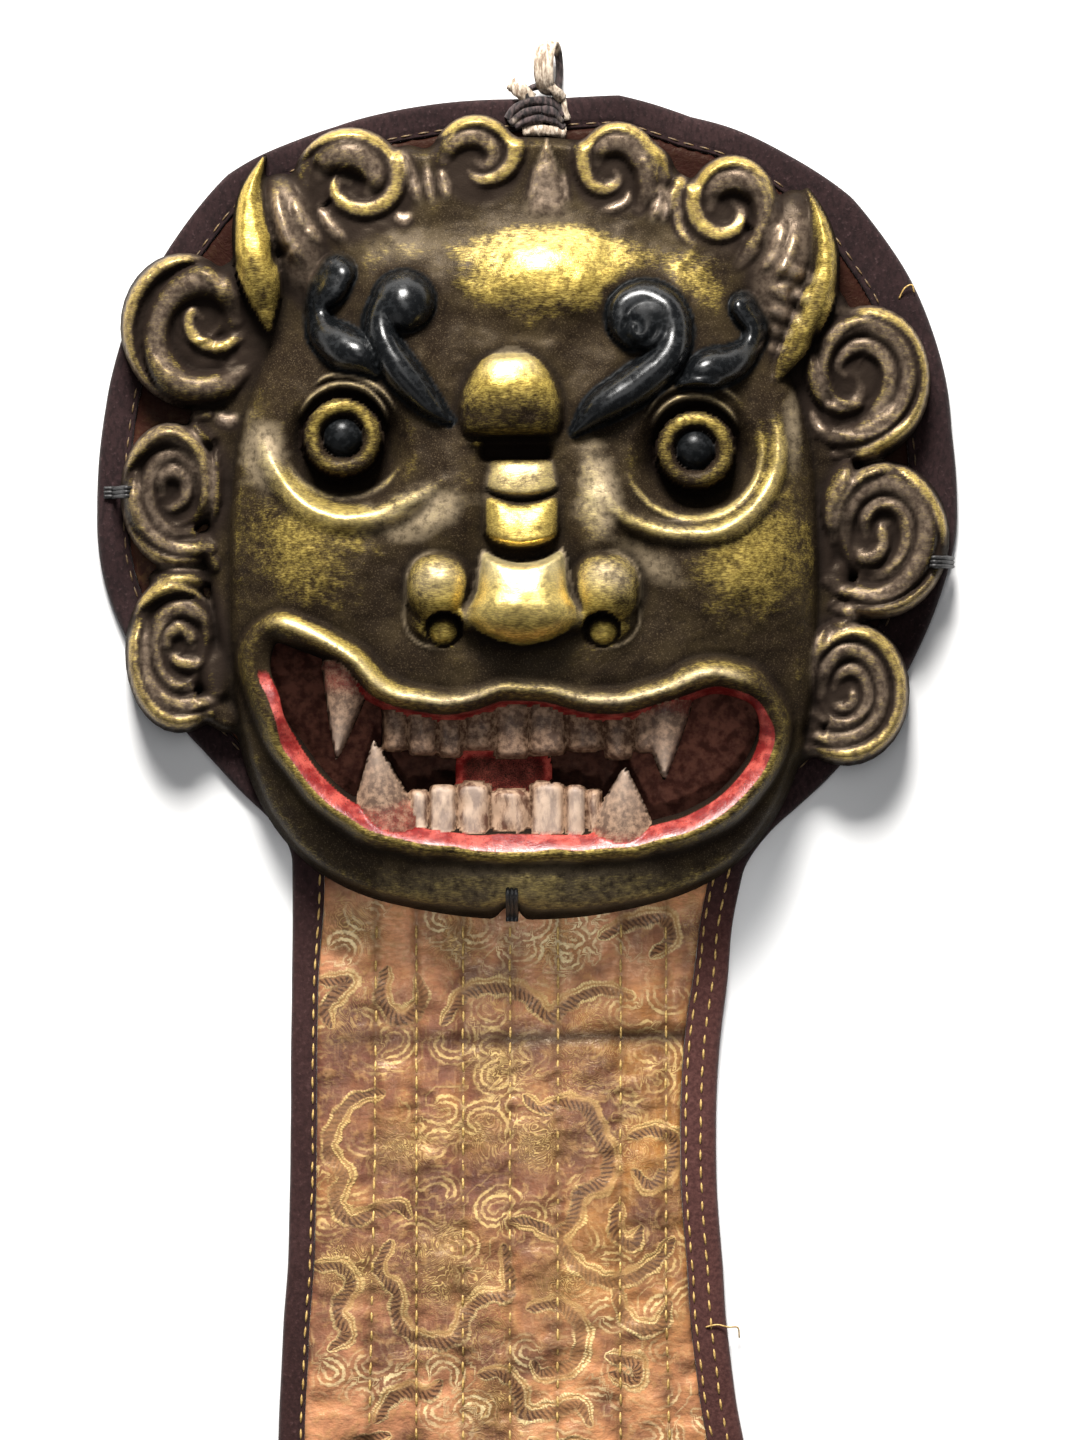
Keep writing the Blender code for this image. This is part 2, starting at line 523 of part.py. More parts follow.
def make_face():
    xs = np.arange(-108.0, 109.0, GRID_PITCH)
    ys = np.arange(-106.0, 103.0, GRID_PITCH)
    grid_x, grid_y = np.meshgrid(xs, ys)
    edge, opening = face_relief(grid_x, grid_y)[1:]
    x, y, triangles = fitted_grid(xs, ys, np.minimum(edge, -opening))
    front = face_relief(x, y)[0]
    back = hollowed(front, opening < 0.1, GRID_PITCH)
    mesh = shell_mesh("lion_face", x, y, front + FACE_PLANE, back + FACE_PLANE, triangles)
    face = part_object("lion_face", mesh, (0.42, 0.30, 0.12), 0.42, 0.6)
    thinner = face.modifiers.new("fewer_faces", "DECIMATE")
    thinner.ratio = FACE_TRIANGLES / (2 * len(triangles) + 2 * len(boundary_edges(triangles)))
    thinner.use_collapse_triangulate = True
    drill = face.modifiers.new("thread_holes", "BOOLEAN")
    drill.operation = "DIFFERENCE"
    drill.object = make_hole_cutter()
    return face


def make_hole_cutter():
    """The upright pins that the thread holes are cut with, as one guide object."""
    sides = 12
    turn = np.linspace(0, 2 * pi, sides, endpoint=False)
    points, faces = [], []
    for (hx, hy), _ in TIES.values():
        first = len(points)
        for z in (FACE_PLANE - 3.0, FACE_PLANE + 30.0):
            points += [(hx + THREAD_HOLE_RADIUS * cos(a), hy + THREAD_HOLE_RADIUS * sin(a), z) for a in turn]
        faces.append(tuple(first + k for k in reversed(range(sides))))
        faces.append(tuple(first + sides + k for k in range(sides)))
        faces += [(first + k, first + (k + 1) % sides, first + sides + (k + 1) % sides, first + sides + k)
                  for k in range(sides)]
    mesh = bpy.data.meshes.new("hole_cutter")
    mesh.from_pydata((np.array(points) * MM).tolist(), [], faces)
    return guide_object("hole_cutter", mesh)


# ---- The cloth hanging -------------------------------------------------------------------------
def cloth_edges(y):
    """How far the cloth reaches to the left and to the right at a height y."""
    from_middle = (y - DISC_MIDDLE_Y) / DISC_HALF_HEIGHT
    power = np.where(from_middle > 0, DISC_POWER_ABOVE, DISC_POWER_BELOW)
    inside = np.maximum(1 - np.abs(from_middle) ** power, 0)
    disc = DISC_HALF_WIDTH * inside ** (1 / power)
    band_on = np.where(y < DISC_MIDDLE_Y, 0.0, -200.0)
    left = BAND_LEFT + 0.00027 * np.maximum(-115 - y, 0) ** 2
    from_waist = (y - BAND_WAIST_Y) / 60
    flare = np.sqrt(1 + np.minimum(from_waist, 1.2) ** 2) - 1
    right = BAND_RIGHT + np.where(from_waist > 0, 15.0, 10.5) * flare
    return -smooth_max(disc, left + band_on, 9.0), smooth_max(disc, right + band_on, 9.0)


def cloth_outline():
    """The cloth's edge as an even loop of points: up the left side, over the top, down to the hem."""
    top = DISC_MIDDLE_Y + DISC_HALF_HEIGHT
    near_top = top - (top - DISC_MIDDLE_Y) * (1 - np.cos(np.linspace(0, pi / 2, 200)))
    below = np.linspace(DISC_MIDDLE_Y, HEM_Y, 400)[1:]
    y = np.concatenate((near_top, below))
    left, right = cloth_edges(y)
    side = np.vstack((np.stack((left, y), 1)[::-1], np.stack((right, y), 1)[1:]))
    hem_width = int((right[-1] - left[-1]) / (2 * OUTLINE_STEP))
    hem = np.linspace(side[-1], side[0], hem_width + 2)[1:-1]
    lengths = np.concatenate(([0.0], np.cumsum(np.hypot(*np.diff(side, axis=0).T))))
    from_corner = 1.6 * OUTLINE_STEP
    count = int(lengths[-1] / OUTLINE_STEP)
    even = np.linspace(from_corner, lengths[-1] - from_corner, count)
    even = np.concatenate(([0.0], even, [lengths[-1]]))
    side = np.stack([np.interp(even, lengths, side[:, k]) for k in (0, 1)], 1)
    return np.vstack((side, hem))


def inset(loop, distance):
    """The loop moved inwards by a distance, with full corners (the loop runs clockwise)."""
    before = loop - np.roll(loop, 1, axis=0)
    after = np.roll(loop, -1, axis=0) - loop
    before /= np.hypot(*before.T)[:, None]
    after /= np.hypot(*after.T)[:, None]
    inward = np.stack((before[:, 1] + after[:, 1], -before[:, 0] - after[:, 0]), 1)
    inward /= np.hypot(*inward.T)[:, None]
    spread = np.maximum(inward[:, 0] * after[:, 1] - inward[:, 1] * after[:, 0], 0.5)
    return loop + distance * inward / spread[:, None]


def slab_mesh(name, loop, low, high):
    """A flat sheet of cloth with thickness: the loop at two heights, filled and walled."""
    count = len(loop)
    points = [(px, py, z) for z in (low, high) for px, py in loop]
    faces = [tuple(range(count)), tuple(reversed(range(count, 2 * count)))]
    faces += [(k, k + count, (k + 1) % count + count, (k + 1) % count) for k in range(count)]
    mesh = bpy.data.meshes.new(name)
    mesh.from_pydata((np.array(points) * MM).tolist(), [], faces)
    return mesh


def ring_mesh(name, rings):
    """A closed band swept round: each ring is a loop of points, and the last joins the first."""
    count, sides = len(rings[0]), len(rings)
    points = np.vstack(rings)
    faces = [(a * count + k, (a + 1) % sides * count + k,
              (a + 1) % sides * count + (k + 1) % count, a * count + (k + 1) % count)
             for a in range(sides) for k in range(count)]
    mesh = bpy.data.meshes.new(name)
    mesh.from_pydata((points * MM).tolist(), [], faces)
    return mesh


def make_cloth():
    outline = cloth_outline()
    inner = inset(outline, BINDING_WIDTH + SEWN_GAP)
    lining = slab_mesh("back_lining", inner, 0.0, LINING_THICK)
    part_object("back_lining", lining, (0.16, 0.07, 0.07), 0.9)
    panel = slab_mesh("brocade_panel", inner, PANEL_LOW, PANEL_TOP)
    part_object("brocade_panel", panel, (0.55, 0.28, 0.12), 0.6)
    profile = ((0.0, 1.5), (1.2, BINDING_TOP), (BINDING_WIDTH, BINDING_TOP - 0.2), (BINDING_WIDTH, 0.0),
               (0.8, 0.0))
    rings = [np.column_stack((inset(outline, across), np.full(len(outline), z))) for across, z in profile]
    part_object("edge_binding", ring_mesh("edge_binding", rings), (0.12, 0.05, 0.055), 0.85)


# ---- Loop and ties -----------------------------------------------------------------------------
def tube_mesh(name, path, side, half_side, half_up, sides, closed=False):
    """A tube along a path. Its oval section has one axis along `side`, made square to the path."""
    path, side = np.asarray(path, float), np.asarray(side, float)
    if closed:
        along = np.roll(path, -1, axis=0) - np.roll(path, 1, axis=0)
    else:
        along = np.gradient(path, axis=0)
    along /= np.linalg.norm(along, axis=1)[:, None]
    across = side - along * (along @ side)[:, None]
    across /= np.linalg.norm(across, axis=1)[:, None]
    up = np.cross(along, across)
    turn = np.linspace(0, 2 * pi, sides, endpoint=False)
    rings = (path[:, None, :] + half_side * np.cos(turn)[None, :, None] * across[:, None, :]
             + half_up * np.sin(turn)[None, :, None] * up[:, None, :])
    count = len(path)
    steps = count if closed else count - 1
    faces = [(a * sides + k, a * sides + (k + 1) % sides,
              (a + 1) % count * sides + (k + 1) % sides, (a + 1) % count * sides + k)
             for a in range(steps) for k in range(sides)]
    if not closed:
        faces.append(tuple(reversed(range(sides))))
        faces.append(tuple(range((count - 1) * sides, count * sides)))
    mesh = bpy.data.meshes.new(name)
    mesh.from_pydata((rings.reshape(-1, 3) * MM).tolist(), [], faces)
    return mesh


def lump_mesh(name, centre, radii, rings=8, sides=12):
    """A cloth lump: an ellipsoid whose middle is wound with two soft turns of tape."""
    fall = np.linspace(0, pi, rings + 1)[1:-1, None]
    turn = np.linspace(0, 2 * pi, sides, endpoint=False)[None, :]
    swell = 1 - 0.07 * np.cos(2 * turn + 2 * fall)
    points = np.stack((radii[0] * swell * np.cos(fall) * np.ones_like(turn),
                       radii[1] * swell * np.sin(fall) * np.cos(turn),
                       radii[2] * swell * np.sin(fall) * np.sin(turn)), -1).reshape(-1, 3)
    points = np.vstack((points, ((radii[0], 0, 0), (-radii[0], 0, 0)))) + centre
    first, last = len(points) - 2, len(points) - 1
    faces = [(a * sides + k, (a + 1) * sides + k,
              (a + 1) * sides + (k + 1) % sides, a * sides + (k + 1) % sides)
             for a in range(rings - 2) for k in range(sides)]
    faces += [(first, k, (k + 1) % sides) for k in range(sides)]
    faces += [(last, (rings - 2) * sides + (k + 1) % sides, (rings - 2) * sides + k) for k in range(sides)]
    mesh = bpy.data.meshes.new(name)
    mesh.from_pydata((points * MM).tolist(), [], faces)
    return mesh


def guide_object(name, mesh):
    """A helper shape for a Boolean, kept out of the finished part."""
    guide = bpy.data.objects.new(name, mesh)
    guide.hide_render = True
    guide.display_type = "WIRE"
    bpy.context.scene.collection.objects.link(guide)
    return guide


def make_loop():
    turn = np.linspace(0, 2 * pi, 22, endpoint=False)
    front = np.sin(turn)
    path = np.stack((LOOP_MIDDLE[0] + LOOP_TWIST * front, LOOP_MIDDLE[1] - LOOP_HALF_HEIGHT * np.cos(turn),
                     LOOP_MIDDLE[2] + LOOP_HALF_DEPTH * front), 1)
    tape = tube_mesh("hanging_loop", path, (1, 0, 0), TAPE_HALF_WIDTH, TAPE_HALF_THICK, 8, closed=True)
    shapes = bmesh.new()
    for mesh in (tape, lump_mesh("knot", *KNOT), lump_mesh("sewn_end", *SEWN_END)):
        shapes.from_mesh(mesh)
    shapes.to_mesh(tape)
    shapes.free()
    loop = part_object("hanging_loop", tape, (0.30, 0.22, 0.16), 0.9)
    fused = loop.modifiers.new("one_body", "REMESH")
    fused.mode = "VOXEL"
    fused.voxel_size = LOOP_GRAIN * MM
    thinner = loop.modifiers.new("fewer_faces", "DECIMATE")
    thinner.ratio = LOOP_SHARE_KEPT
    thinner.use_collapse_triangulate = True


def thread_path(hole, foot):
    """The thread's middle line: up out of its hole, over the rim as if a ball of its own radius and
    the gap rolled over the surface, and down to the cloth."""
    steps = 60
    t = np.linspace(0, 1, steps)
    x, y = hole[0] + t * (foot[0] - hole[0]), hole[1] + t * (foot[1] - hole[1])
    height, edge = face_relief(x[None, :], y[None, :])[:2]
    surface = np.where(edge[0] > 0, FACE_PLANE + height[0], BINDING_TOP)
    place = t * hypot(foot[0] - hole[0], foot[1] - hole[1])
    ball = THREAD_RADIUS + THREAD_GAP
    apart = place[:, None] - place[None, :]
    lift = np.where(np.abs(apart) < ball, np.sqrt(np.maximum(ball ** 2 - apart ** 2, 0)), NOWHERE)
    rolled = (surface[None, :] + lift).max(axis=1)
    over = np.stack((x, y, rolled), 1)[14:-6:9]
    down = [(hole[0], hole[1], surface[0] + z) for z in (-1.8, 0.3)]
    foot_end = (foot[0], foot[1], BINDING_TOP + ball)
    path = curve_through(np.vstack((down, over, [foot_end])), 2)
    for _ in range(3):
        path[1:-1] = (path[:-2] + 2 * path[1:-1] + path[2:]) / 4     # eases the tightest bends
    return path


def make_ties():
    for name, (hole, foot) in TIES.items():
        side = (hole[1] - foot[1], foot[0] - hole[0], 0.0)
        mesh = tube_mesh(name, thread_path(hole, foot), side, THREAD_RADIUS, THREAD_RADIUS, THREAD_SIDES)
        part_object(name, mesh, (0.012, 0.011, 0.012), 0.7)


make_face()
make_cloth()
make_loop()
make_ties()
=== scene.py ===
# %% [markdown]
# # A lion-demon face on a quilted hanging
#
# The real object is a hollow face of moulded paper and lacquer, gilded with rubbed brass powder
# and sewn with black thread onto a keyhole-shaped hanging of quilted brocade, bound in plum
# cloth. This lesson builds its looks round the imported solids: every visible piece is a surface
# worked out with numpy, and every finish is a procedural material.

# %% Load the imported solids
from math import cos, hypot, pi, sin

import bpy
import numpy as np
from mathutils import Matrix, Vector


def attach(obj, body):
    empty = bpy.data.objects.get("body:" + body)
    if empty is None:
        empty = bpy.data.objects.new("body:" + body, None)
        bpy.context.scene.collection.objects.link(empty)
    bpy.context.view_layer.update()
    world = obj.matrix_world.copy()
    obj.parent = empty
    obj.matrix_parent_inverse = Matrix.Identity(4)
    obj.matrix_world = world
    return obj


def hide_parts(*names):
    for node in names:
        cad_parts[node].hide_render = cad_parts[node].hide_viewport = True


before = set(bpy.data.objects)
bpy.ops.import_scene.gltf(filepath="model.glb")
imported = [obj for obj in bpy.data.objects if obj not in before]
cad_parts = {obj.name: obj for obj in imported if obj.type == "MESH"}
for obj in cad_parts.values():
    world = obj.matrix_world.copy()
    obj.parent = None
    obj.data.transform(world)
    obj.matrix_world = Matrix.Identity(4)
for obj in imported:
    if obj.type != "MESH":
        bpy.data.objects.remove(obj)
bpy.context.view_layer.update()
MM = 0.001
print("solids:", sorted(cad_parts))

# %% [markdown]
# ## Camera, floor and light
#
# The hanging lies on its back, so the camera looks straight down on it, with its top towards the
# crown. A long lens keeps the sides parallel. A large soft light beyond the crown draws a bright
# line along every ridge that faces it, a shaded lamp over the band keeps the chin's shadow short,
# and a pale room fills the rest.

# %% Camera, floor and light
VIEW_MIDDLE = Vector((0.003, -0.052, 0.01))
VIEW_DISTANCE = 2.3
VIEW_HEIGHT = 0.36              # how much of the object's length the view takes in
SENSOR = 0.036


def put_in_scene(name, data):
    """A new object that shows `data`, linked into the scene."""
    thing = bpy.data.objects.new(name, data)
    bpy.context.scene.collection.objects.link(thing)
    return thing


def hang_light(name, kind, place, aim, power, **settings):
    """A light at `place` that faces `aim`, with any further settings of its kind."""
    data = bpy.data.lights.new(name, kind)
    data.energy = power
    for setting, value in settings.items():
        setattr(data, setting, value)
    light = put_in_scene(name, data)
    light.location = place
    light.rotation_mode = "QUATERNION"
    light.rotation_quaternion = (Vector(aim) - Vector(place)).to_track_quat("-Z", "Y")


camera_data = bpy.data.cameras.new("camera")
camera_data.sensor_width = SENSOR * 1000
camera_data.lens = 1000 * SENSOR * VIEW_DISTANCE / VIEW_HEIGHT
camera = put_in_scene("camera", camera_data)
camera.location = VIEW_MIDDLE + Vector((0, 0, VIEW_DISTANCE))
bpy.context.scene.camera = camera

hang_light("key", "AREA", (-0.15, 1.45, 0.95), (0.0, -0.02, 0.02), 92.0, size=0.6, color=(1.0, 0.98, 0.95))
hang_light("overhead", "AREA", (0.1, 0.35, 1.6), (0.0, -0.05, 0.0), 3.6, size=0.9)
hang_light("low_fill", "AREA", (-0.75, -0.85, 0.9), (0.0, -0.05, 0.02), 1.0, size=0.9)
hang_light("band_lamp", "SPOT", (0.0, -0.42, 1.8), (0.004, -0.128, 0.0), 60.0,
           shadow_soft_size=0.05, spot_size=0.105, spot_blend=1.0)

world = bpy.data.worlds.new("room")
world.use_nodes = True
world.node_tree.nodes["Background"].inputs["Color"].default_value = (0.93, 0.95, 1.0, 1.0)
world.node_tree.nodes["Background"].inputs["Strength"].default_value = 0.12
bpy.context.scene.world = world
bpy.context.scene.view_settings.view_transform = "Standard"

# %% [markdown]
# ## Heights as functions of place
#
# The face is carved as a height over every point of a grid. These helpers give the basic cuts of
# a carver: a round cap, a soft mound, a groove or a rope that follows a curve, and joins between
# two surfaces that are rounded and not sharp. Values are in millimetres.

# %% Carving helpers
NOWHERE = -99.0


def smooth_max(a, b, blend):
    """The larger of two heights, with the crease between them rounded over `blend`."""
    gap = np.maximum(blend - np.abs(a - b), 0.0)
    return np.maximum(a, b) + gap * gap / (4.0 * blend)


def smooth_min(a, b, blend):
    """The smaller of two heights, rounded in the same way."""
    return -smooth_max(-a, -b, blend)


def laid_on(z, where, form, blend):
    """The surface with a form laid on it where `where` holds, its foot rounded over `blend`."""
    return smooth_max(z, np.where(where, form, NOWHERE), blend)


def step_up(value, start, end):
    """0 before `start`, 1 after `end`, and an S curve between them."""
    t = np.clip((value - start) / (end - start), 0.0, 1.0)
    return t * t * (3.0 - 2.0 * t)


def oval(x, y, centre, radii, turn=0.0, power=2.0):
    """0 at the centre and 1 on an ellipse, or on a squarer ring where power is over 2."""
    c, s = cos(turn * pi / 180), sin(turn * pi / 180)
    dx, dy = x - centre[0], y - centre[1]
    u = np.abs(dx * c + dy * s) / radii[0]
    v = np.abs(dy * c - dx * s) / radii[1]
    return (u ** power + v ** power) ** (1.0 / power)


def dome(r):
    """Round cap: 1 at the centre, 0 from the ring outwards."""
    return np.sqrt(np.maximum(1.0 - r * r, 0.0))


def mound(r):
    """Soft cap that meets its surroundings flat."""
    return np.clip(1.0 - r * r, 0.0, 1.0) ** 2


def rows_of(text):
    """Numbers written as a table, with a comma between its rows."""
    return np.array([row.split() for row in text.split(",")], float)


def rope(text):
    """The points and the half widths of a rope, written as rows of x, y and half width."""
    rows = rows_of(text)
    return rows[:, :2], rows[:, 2]


def patches(table):
    """The centre, the radii and any further numbers of each oval patch in a table."""
    for cx, cy, width, height, *further in rows_of(table):
        yield (cx, cy), (width, height), *further


def ring_distance(x, y, centre, radii, power):
    """Signed distance to a superellipse, negative inside it."""
    u = np.abs((x - centre[0]) / radii[0]) + 1e-9
    v = np.abs((y - centre[1]) / radii[1]) + 1e-9
    size = (u ** power + v ** power) ** (1.0 / power)
    slope = np.hypot(u ** (power - 1) / radii[0], v ** (power - 1) / radii[1]) * size ** (1.0 - power)
    return (size - 1.0) / slope

# %% Curves and tables
def curve_through(points, samples=8, closed=False):
    """Smooth curve through the points, with `samples` steps between each two."""
    p = np.asarray(points, float)
    if closed:
        p = np.vstack((p[-1], p, p[0], p[1]))
    else:
        p = np.vstack((2 * p[0] - p[1], p, 2 * p[-1] - p[-2]))
    t = np.linspace(0, 1, samples, endpoint=False)[:, None]
    spans = [0.5 * (2 * b + (c - a) * t + (2 * a - 5 * b + 4 * c - d) * t ** 2
                    + (3 * b - a - 3 * c + d) * t ** 3)
             for a, b, c, d in zip(p[:-3], p[1:-2], p[2:-1], p[3:])]
    return np.vstack(spans + [p[-2][None, :]])


def nearest_on(x, y, path):
    """Distance to a path, how far along it the nearest point lies (0 to 1), and the side of the
    path that the point is on (1 on its left, -1 on its right)."""
    best = np.full(x.shape, np.inf)
    along, side = np.zeros(x.shape), np.ones(x.shape)
    lengths = np.hypot(*np.diff(path, axis=0).T)
    reach = np.concatenate(([0.0], np.cumsum(lengths))) / lengths.sum()
    for (ax, ay), (bx, by), start, stop in zip(path, np.diff(path, axis=0), reach, reach[1:]):
        t = np.clip(((x - ax) * bx + (y - ay) * by) / max(bx * bx + by * by, 1e-12), 0, 1)
        distance = np.hypot(x - ax - t * bx, y - ay - t * by)
        nearer = distance < best
        best = np.where(nearer, distance, best)
        along = np.where(nearer, start + t * (stop - start), along)
        side = np.where(nearer, np.where(bx * (y - ay) > by * (x - ax), 1.0, -1.0), side)
    return best, along, side


def inside_of(x, y, path):
    """Whether each point lies inside a closed path."""
    inside = np.zeros(x.shape, bool)
    for (x0, y0), (x1, y1) in zip(path, np.roll(path, -1, axis=0)):
        if y0 != y1:
            inside ^= ((y0 > y) != (y1 > y)) & (x < x0 + (y - y0) * (x1 - x0) / (y1 - y0))
    return inside


def close_to(x, y, path, margin):
    """Whether each point lies in the box round a path, widened by `margin`."""
    low, high = path.min(axis=0) - margin, path.max(axis=0) + margin
    return (x > low[0]) & (x < high[0]) & (y > low[1]) & (y < high[1])


def strand(x, y, path, half_widths):
    """For a tapering strand: distance over half width (1 at its side), distance beyond the side,
    place along it, and the half width there."""
    widths = curve_through(np.asarray(half_widths, float)[:, None], 6)[:, 0]
    near = close_to(x, y, path, 3.0 * max(half_widths))
    ratio, beyond = np.full(x.shape, 9.0), np.full(x.shape, 99.0)
    along, half = np.zeros(x.shape), np.ones(x.shape)
    if near.any():
        distance, place, _ = nearest_on(x[near], y[near], path)
        half[near] = np.interp(place, np.linspace(0, 1, len(widths)), widths)
        along[near] = place
        ratio[near] = distance / half[near]
        beyond[near] = distance - half[near]
    return ratio, beyond, along, half

# %% Marks and unevenness
def raise_mark(marks, name, amount):
    """The mark becomes the larger of what it was and `amount`."""
    marks[name] = np.maximum(marks[name], amount)


def set_mark(marks, name, where, amount):
    """The mark becomes `amount` in the places where `where` holds."""
    marks[name] = np.where(where, amount, marks[name])


def unevenness(x, y, grain, seed):
    """Smooth noise from -1 to 1: random values on a square lattice `grain` apart, eased between."""
    table = np.random.default_rng(seed).uniform(-1, 1, (64, 64))
    u, v = x / grain + 200.0, y / grain + 200.0
    i, j = np.floor(u).astype(int), np.floor(v).astype(int)
    s, t = u - i, v - j
    s, t = s * s * (3 - 2 * s), t * t * (3 - 2 * t)
    a, b = table[j % 64, i % 64], table[j % 64, (i + 1) % 64]
    c, d = table[(j + 1) % 64, i % 64], table[(j + 1) % 64, (i + 1) % 64]
    return (a * (1 - s) + b * s) * (1 - t) + (c * (1 - s) + d * s) * t

# %% [markdown]
# ## The outline of the face
#
# The face is cut out along its jaw, its coiled locks and its two horns. Each lock's outer turn is
# an ellipse that closes in on its eye, as in the solid, so the dressed face keeps the solid's edge.

# %% Outline
RIM = 1.8                       # height of the rolled rim itself
HAIR_LEVEL = 5.0                # low ground between the locks
EDGE_ROLL = 3.2                 # width over which the surface rolls down to the rim
FACE_PLANE = 3.6                # the rim's underside, over the cloth
WALL, WALL_SPREAD = 2.4, 4.6    # the shell's thickness, and how far its back smooths the front
JAW_CENTRE, JAW_RADII, JAW_POWER = (-1.5, -16.0), (74.0, 84.5), 3.0
HEAD_CENTRE, HEAD_RADII, HEAD_POWER = (-1.0, -4.0), (79.0, 98.0), 2.3
CHIN_NOTCH, CHIN_NOTCH_RADIUS = (-4.5, -101.5), 2.6
TURN_POINTS = 34
LOCK_EYE = 0.12

# Rolled locks: eye of the coil, radii, start angle, turns, root, half widths at root and eye
LOCKS = (
    ((-43.1, 82.6), (13.2, 12.9), 215, -1.65, (-43.0, 62.5), (4.0, 2.5)),
    ((-12.1, 88.8), (9.5, 9.7), 200, -1.7, (-17.0, 75.0), (3.2, 2.1)),
    ((21.6, 86.7), (9.3, 10.2), -25, 1.7, (25.0, 71.5), (3.2, 2.1)),
    ((50.1, 76.9), (10.1, 11.8), -40, 1.8, (52.0, 60.5), (3.5, 2.2)),
    ((-84.5, 49.0), (17.0, 19.5), -50, -1.45, (-67.0, 30.0), (5.6, 2.4)),
    ((-88.5, 6.2), (12.1, 17.8), -55, -2.05, (-75.5, -12.8), (3.8, 2.4)),
    ((-88.0, -33.4), (11.2, 19.0), -55, -2.05, (-75.0, -51.5), (3.8, 2.4)),
    ((84.0, 35.0), (15.5, 19.0), -125, 1.75, (71.0, 17.0), (4.6, 2.6)),
    ((88.3, -4.7), (16.0, 19.0), -120, 2.05, (71.0, -22.0), (4.0, 2.5)),
    ((80.7, -43.3), (13.6, 17.3), -125, 2.05, (67.0, -59.0), (3.8, 2.2)),
)
HORNS = (
    "-66 89 0.6, -69 81 3, -69.6 73 4.6, -68.4 64.5 5.5, -66.4 56 4.6, -64.8 46 1.2",
    "70 80.6 0.6, 72 76 2.4, 73.6 69.5 3.6, 74.2 63 4.2, 73.2 56 4.3, 70.4 48.4 3.8, 66.2 40.4 2.8, "
    "61 32 0.9",
)
HORN_GOLD = (0.6, 0.34)


def lock_path(eye, radii, start, turns, root):
    """A lock's middle line: a short lead from its root, then an elliptical coil that closes in."""
    t = np.linspace(0, 1, int(TURN_POINTS * abs(turns)))
    angle = start * pi / 180 + 2 * pi * turns * t
    size = 1 - (1 - LOCK_EYE) * t
    coil = np.stack((eye[0] + radii[0] * size * np.cos(angle), eye[1] + radii[1] * size * np.sin(angle)), 1)
    lead = curve_through([root, coil[0], coil[5]], 6)[:6]
    return np.vstack((lead, coil)), coil[:TURN_POINTS]


def face_outline(x, y):
    """Signed distance to the edge of the face, its locks and its horns, negative inside."""
    jaw = ring_distance(x, y, JAW_CENTRE, JAW_RADII, JAW_POWER)
    head = ring_distance(x, y, HEAD_CENTRE, HEAD_RADII, HEAD_POWER)
    shape = smooth_min(jaw, head, 2.0)
    notch = CHIN_NOTCH_RADIUS - np.hypot(x - CHIN_NOTCH[0], y - CHIN_NOTCH[1])
    shape = smooth_max(shape, notch, 3.0)
    for eye, radii, start, turns, root, half_widths in LOCKS:
        path, outer_turn = lock_path(eye, radii, start, turns, root)
        beyond = strand(x, y, path, half_widths)[1]
        filled = np.where(inside_of(x, y, outer_turn), np.minimum(beyond, -2.0), beyond)
        shape = smooth_min(shape, filled, 2.0)
    for points, half_widths in map(rope, HORNS):
        shape = smooth_min(shape, strand(x, y, curve_through(points), half_widths)[1], 2.0)
    for centre, radii, turn in patches(WEBS):
        shape = smooth_min(shape, (oval(x, y, centre, radii, turn) - 1) * min(radii), 1.5)
    return shape

# %% [markdown]
# ## Hair: coiled locks, combed strands, horns
#
# A moulded lock is not one rope but two or three, wound into each other, with a dark valley
# between them. So each lock is a list of ropes, and each rope a smooth curve through a few points
# with a width that tapers to its ends. The last number says how much gold its crest has kept.

# %% Ropes of the coiled locks
ROPE_FULLNESS = 1.68            # how much of the valleys the ropes fill
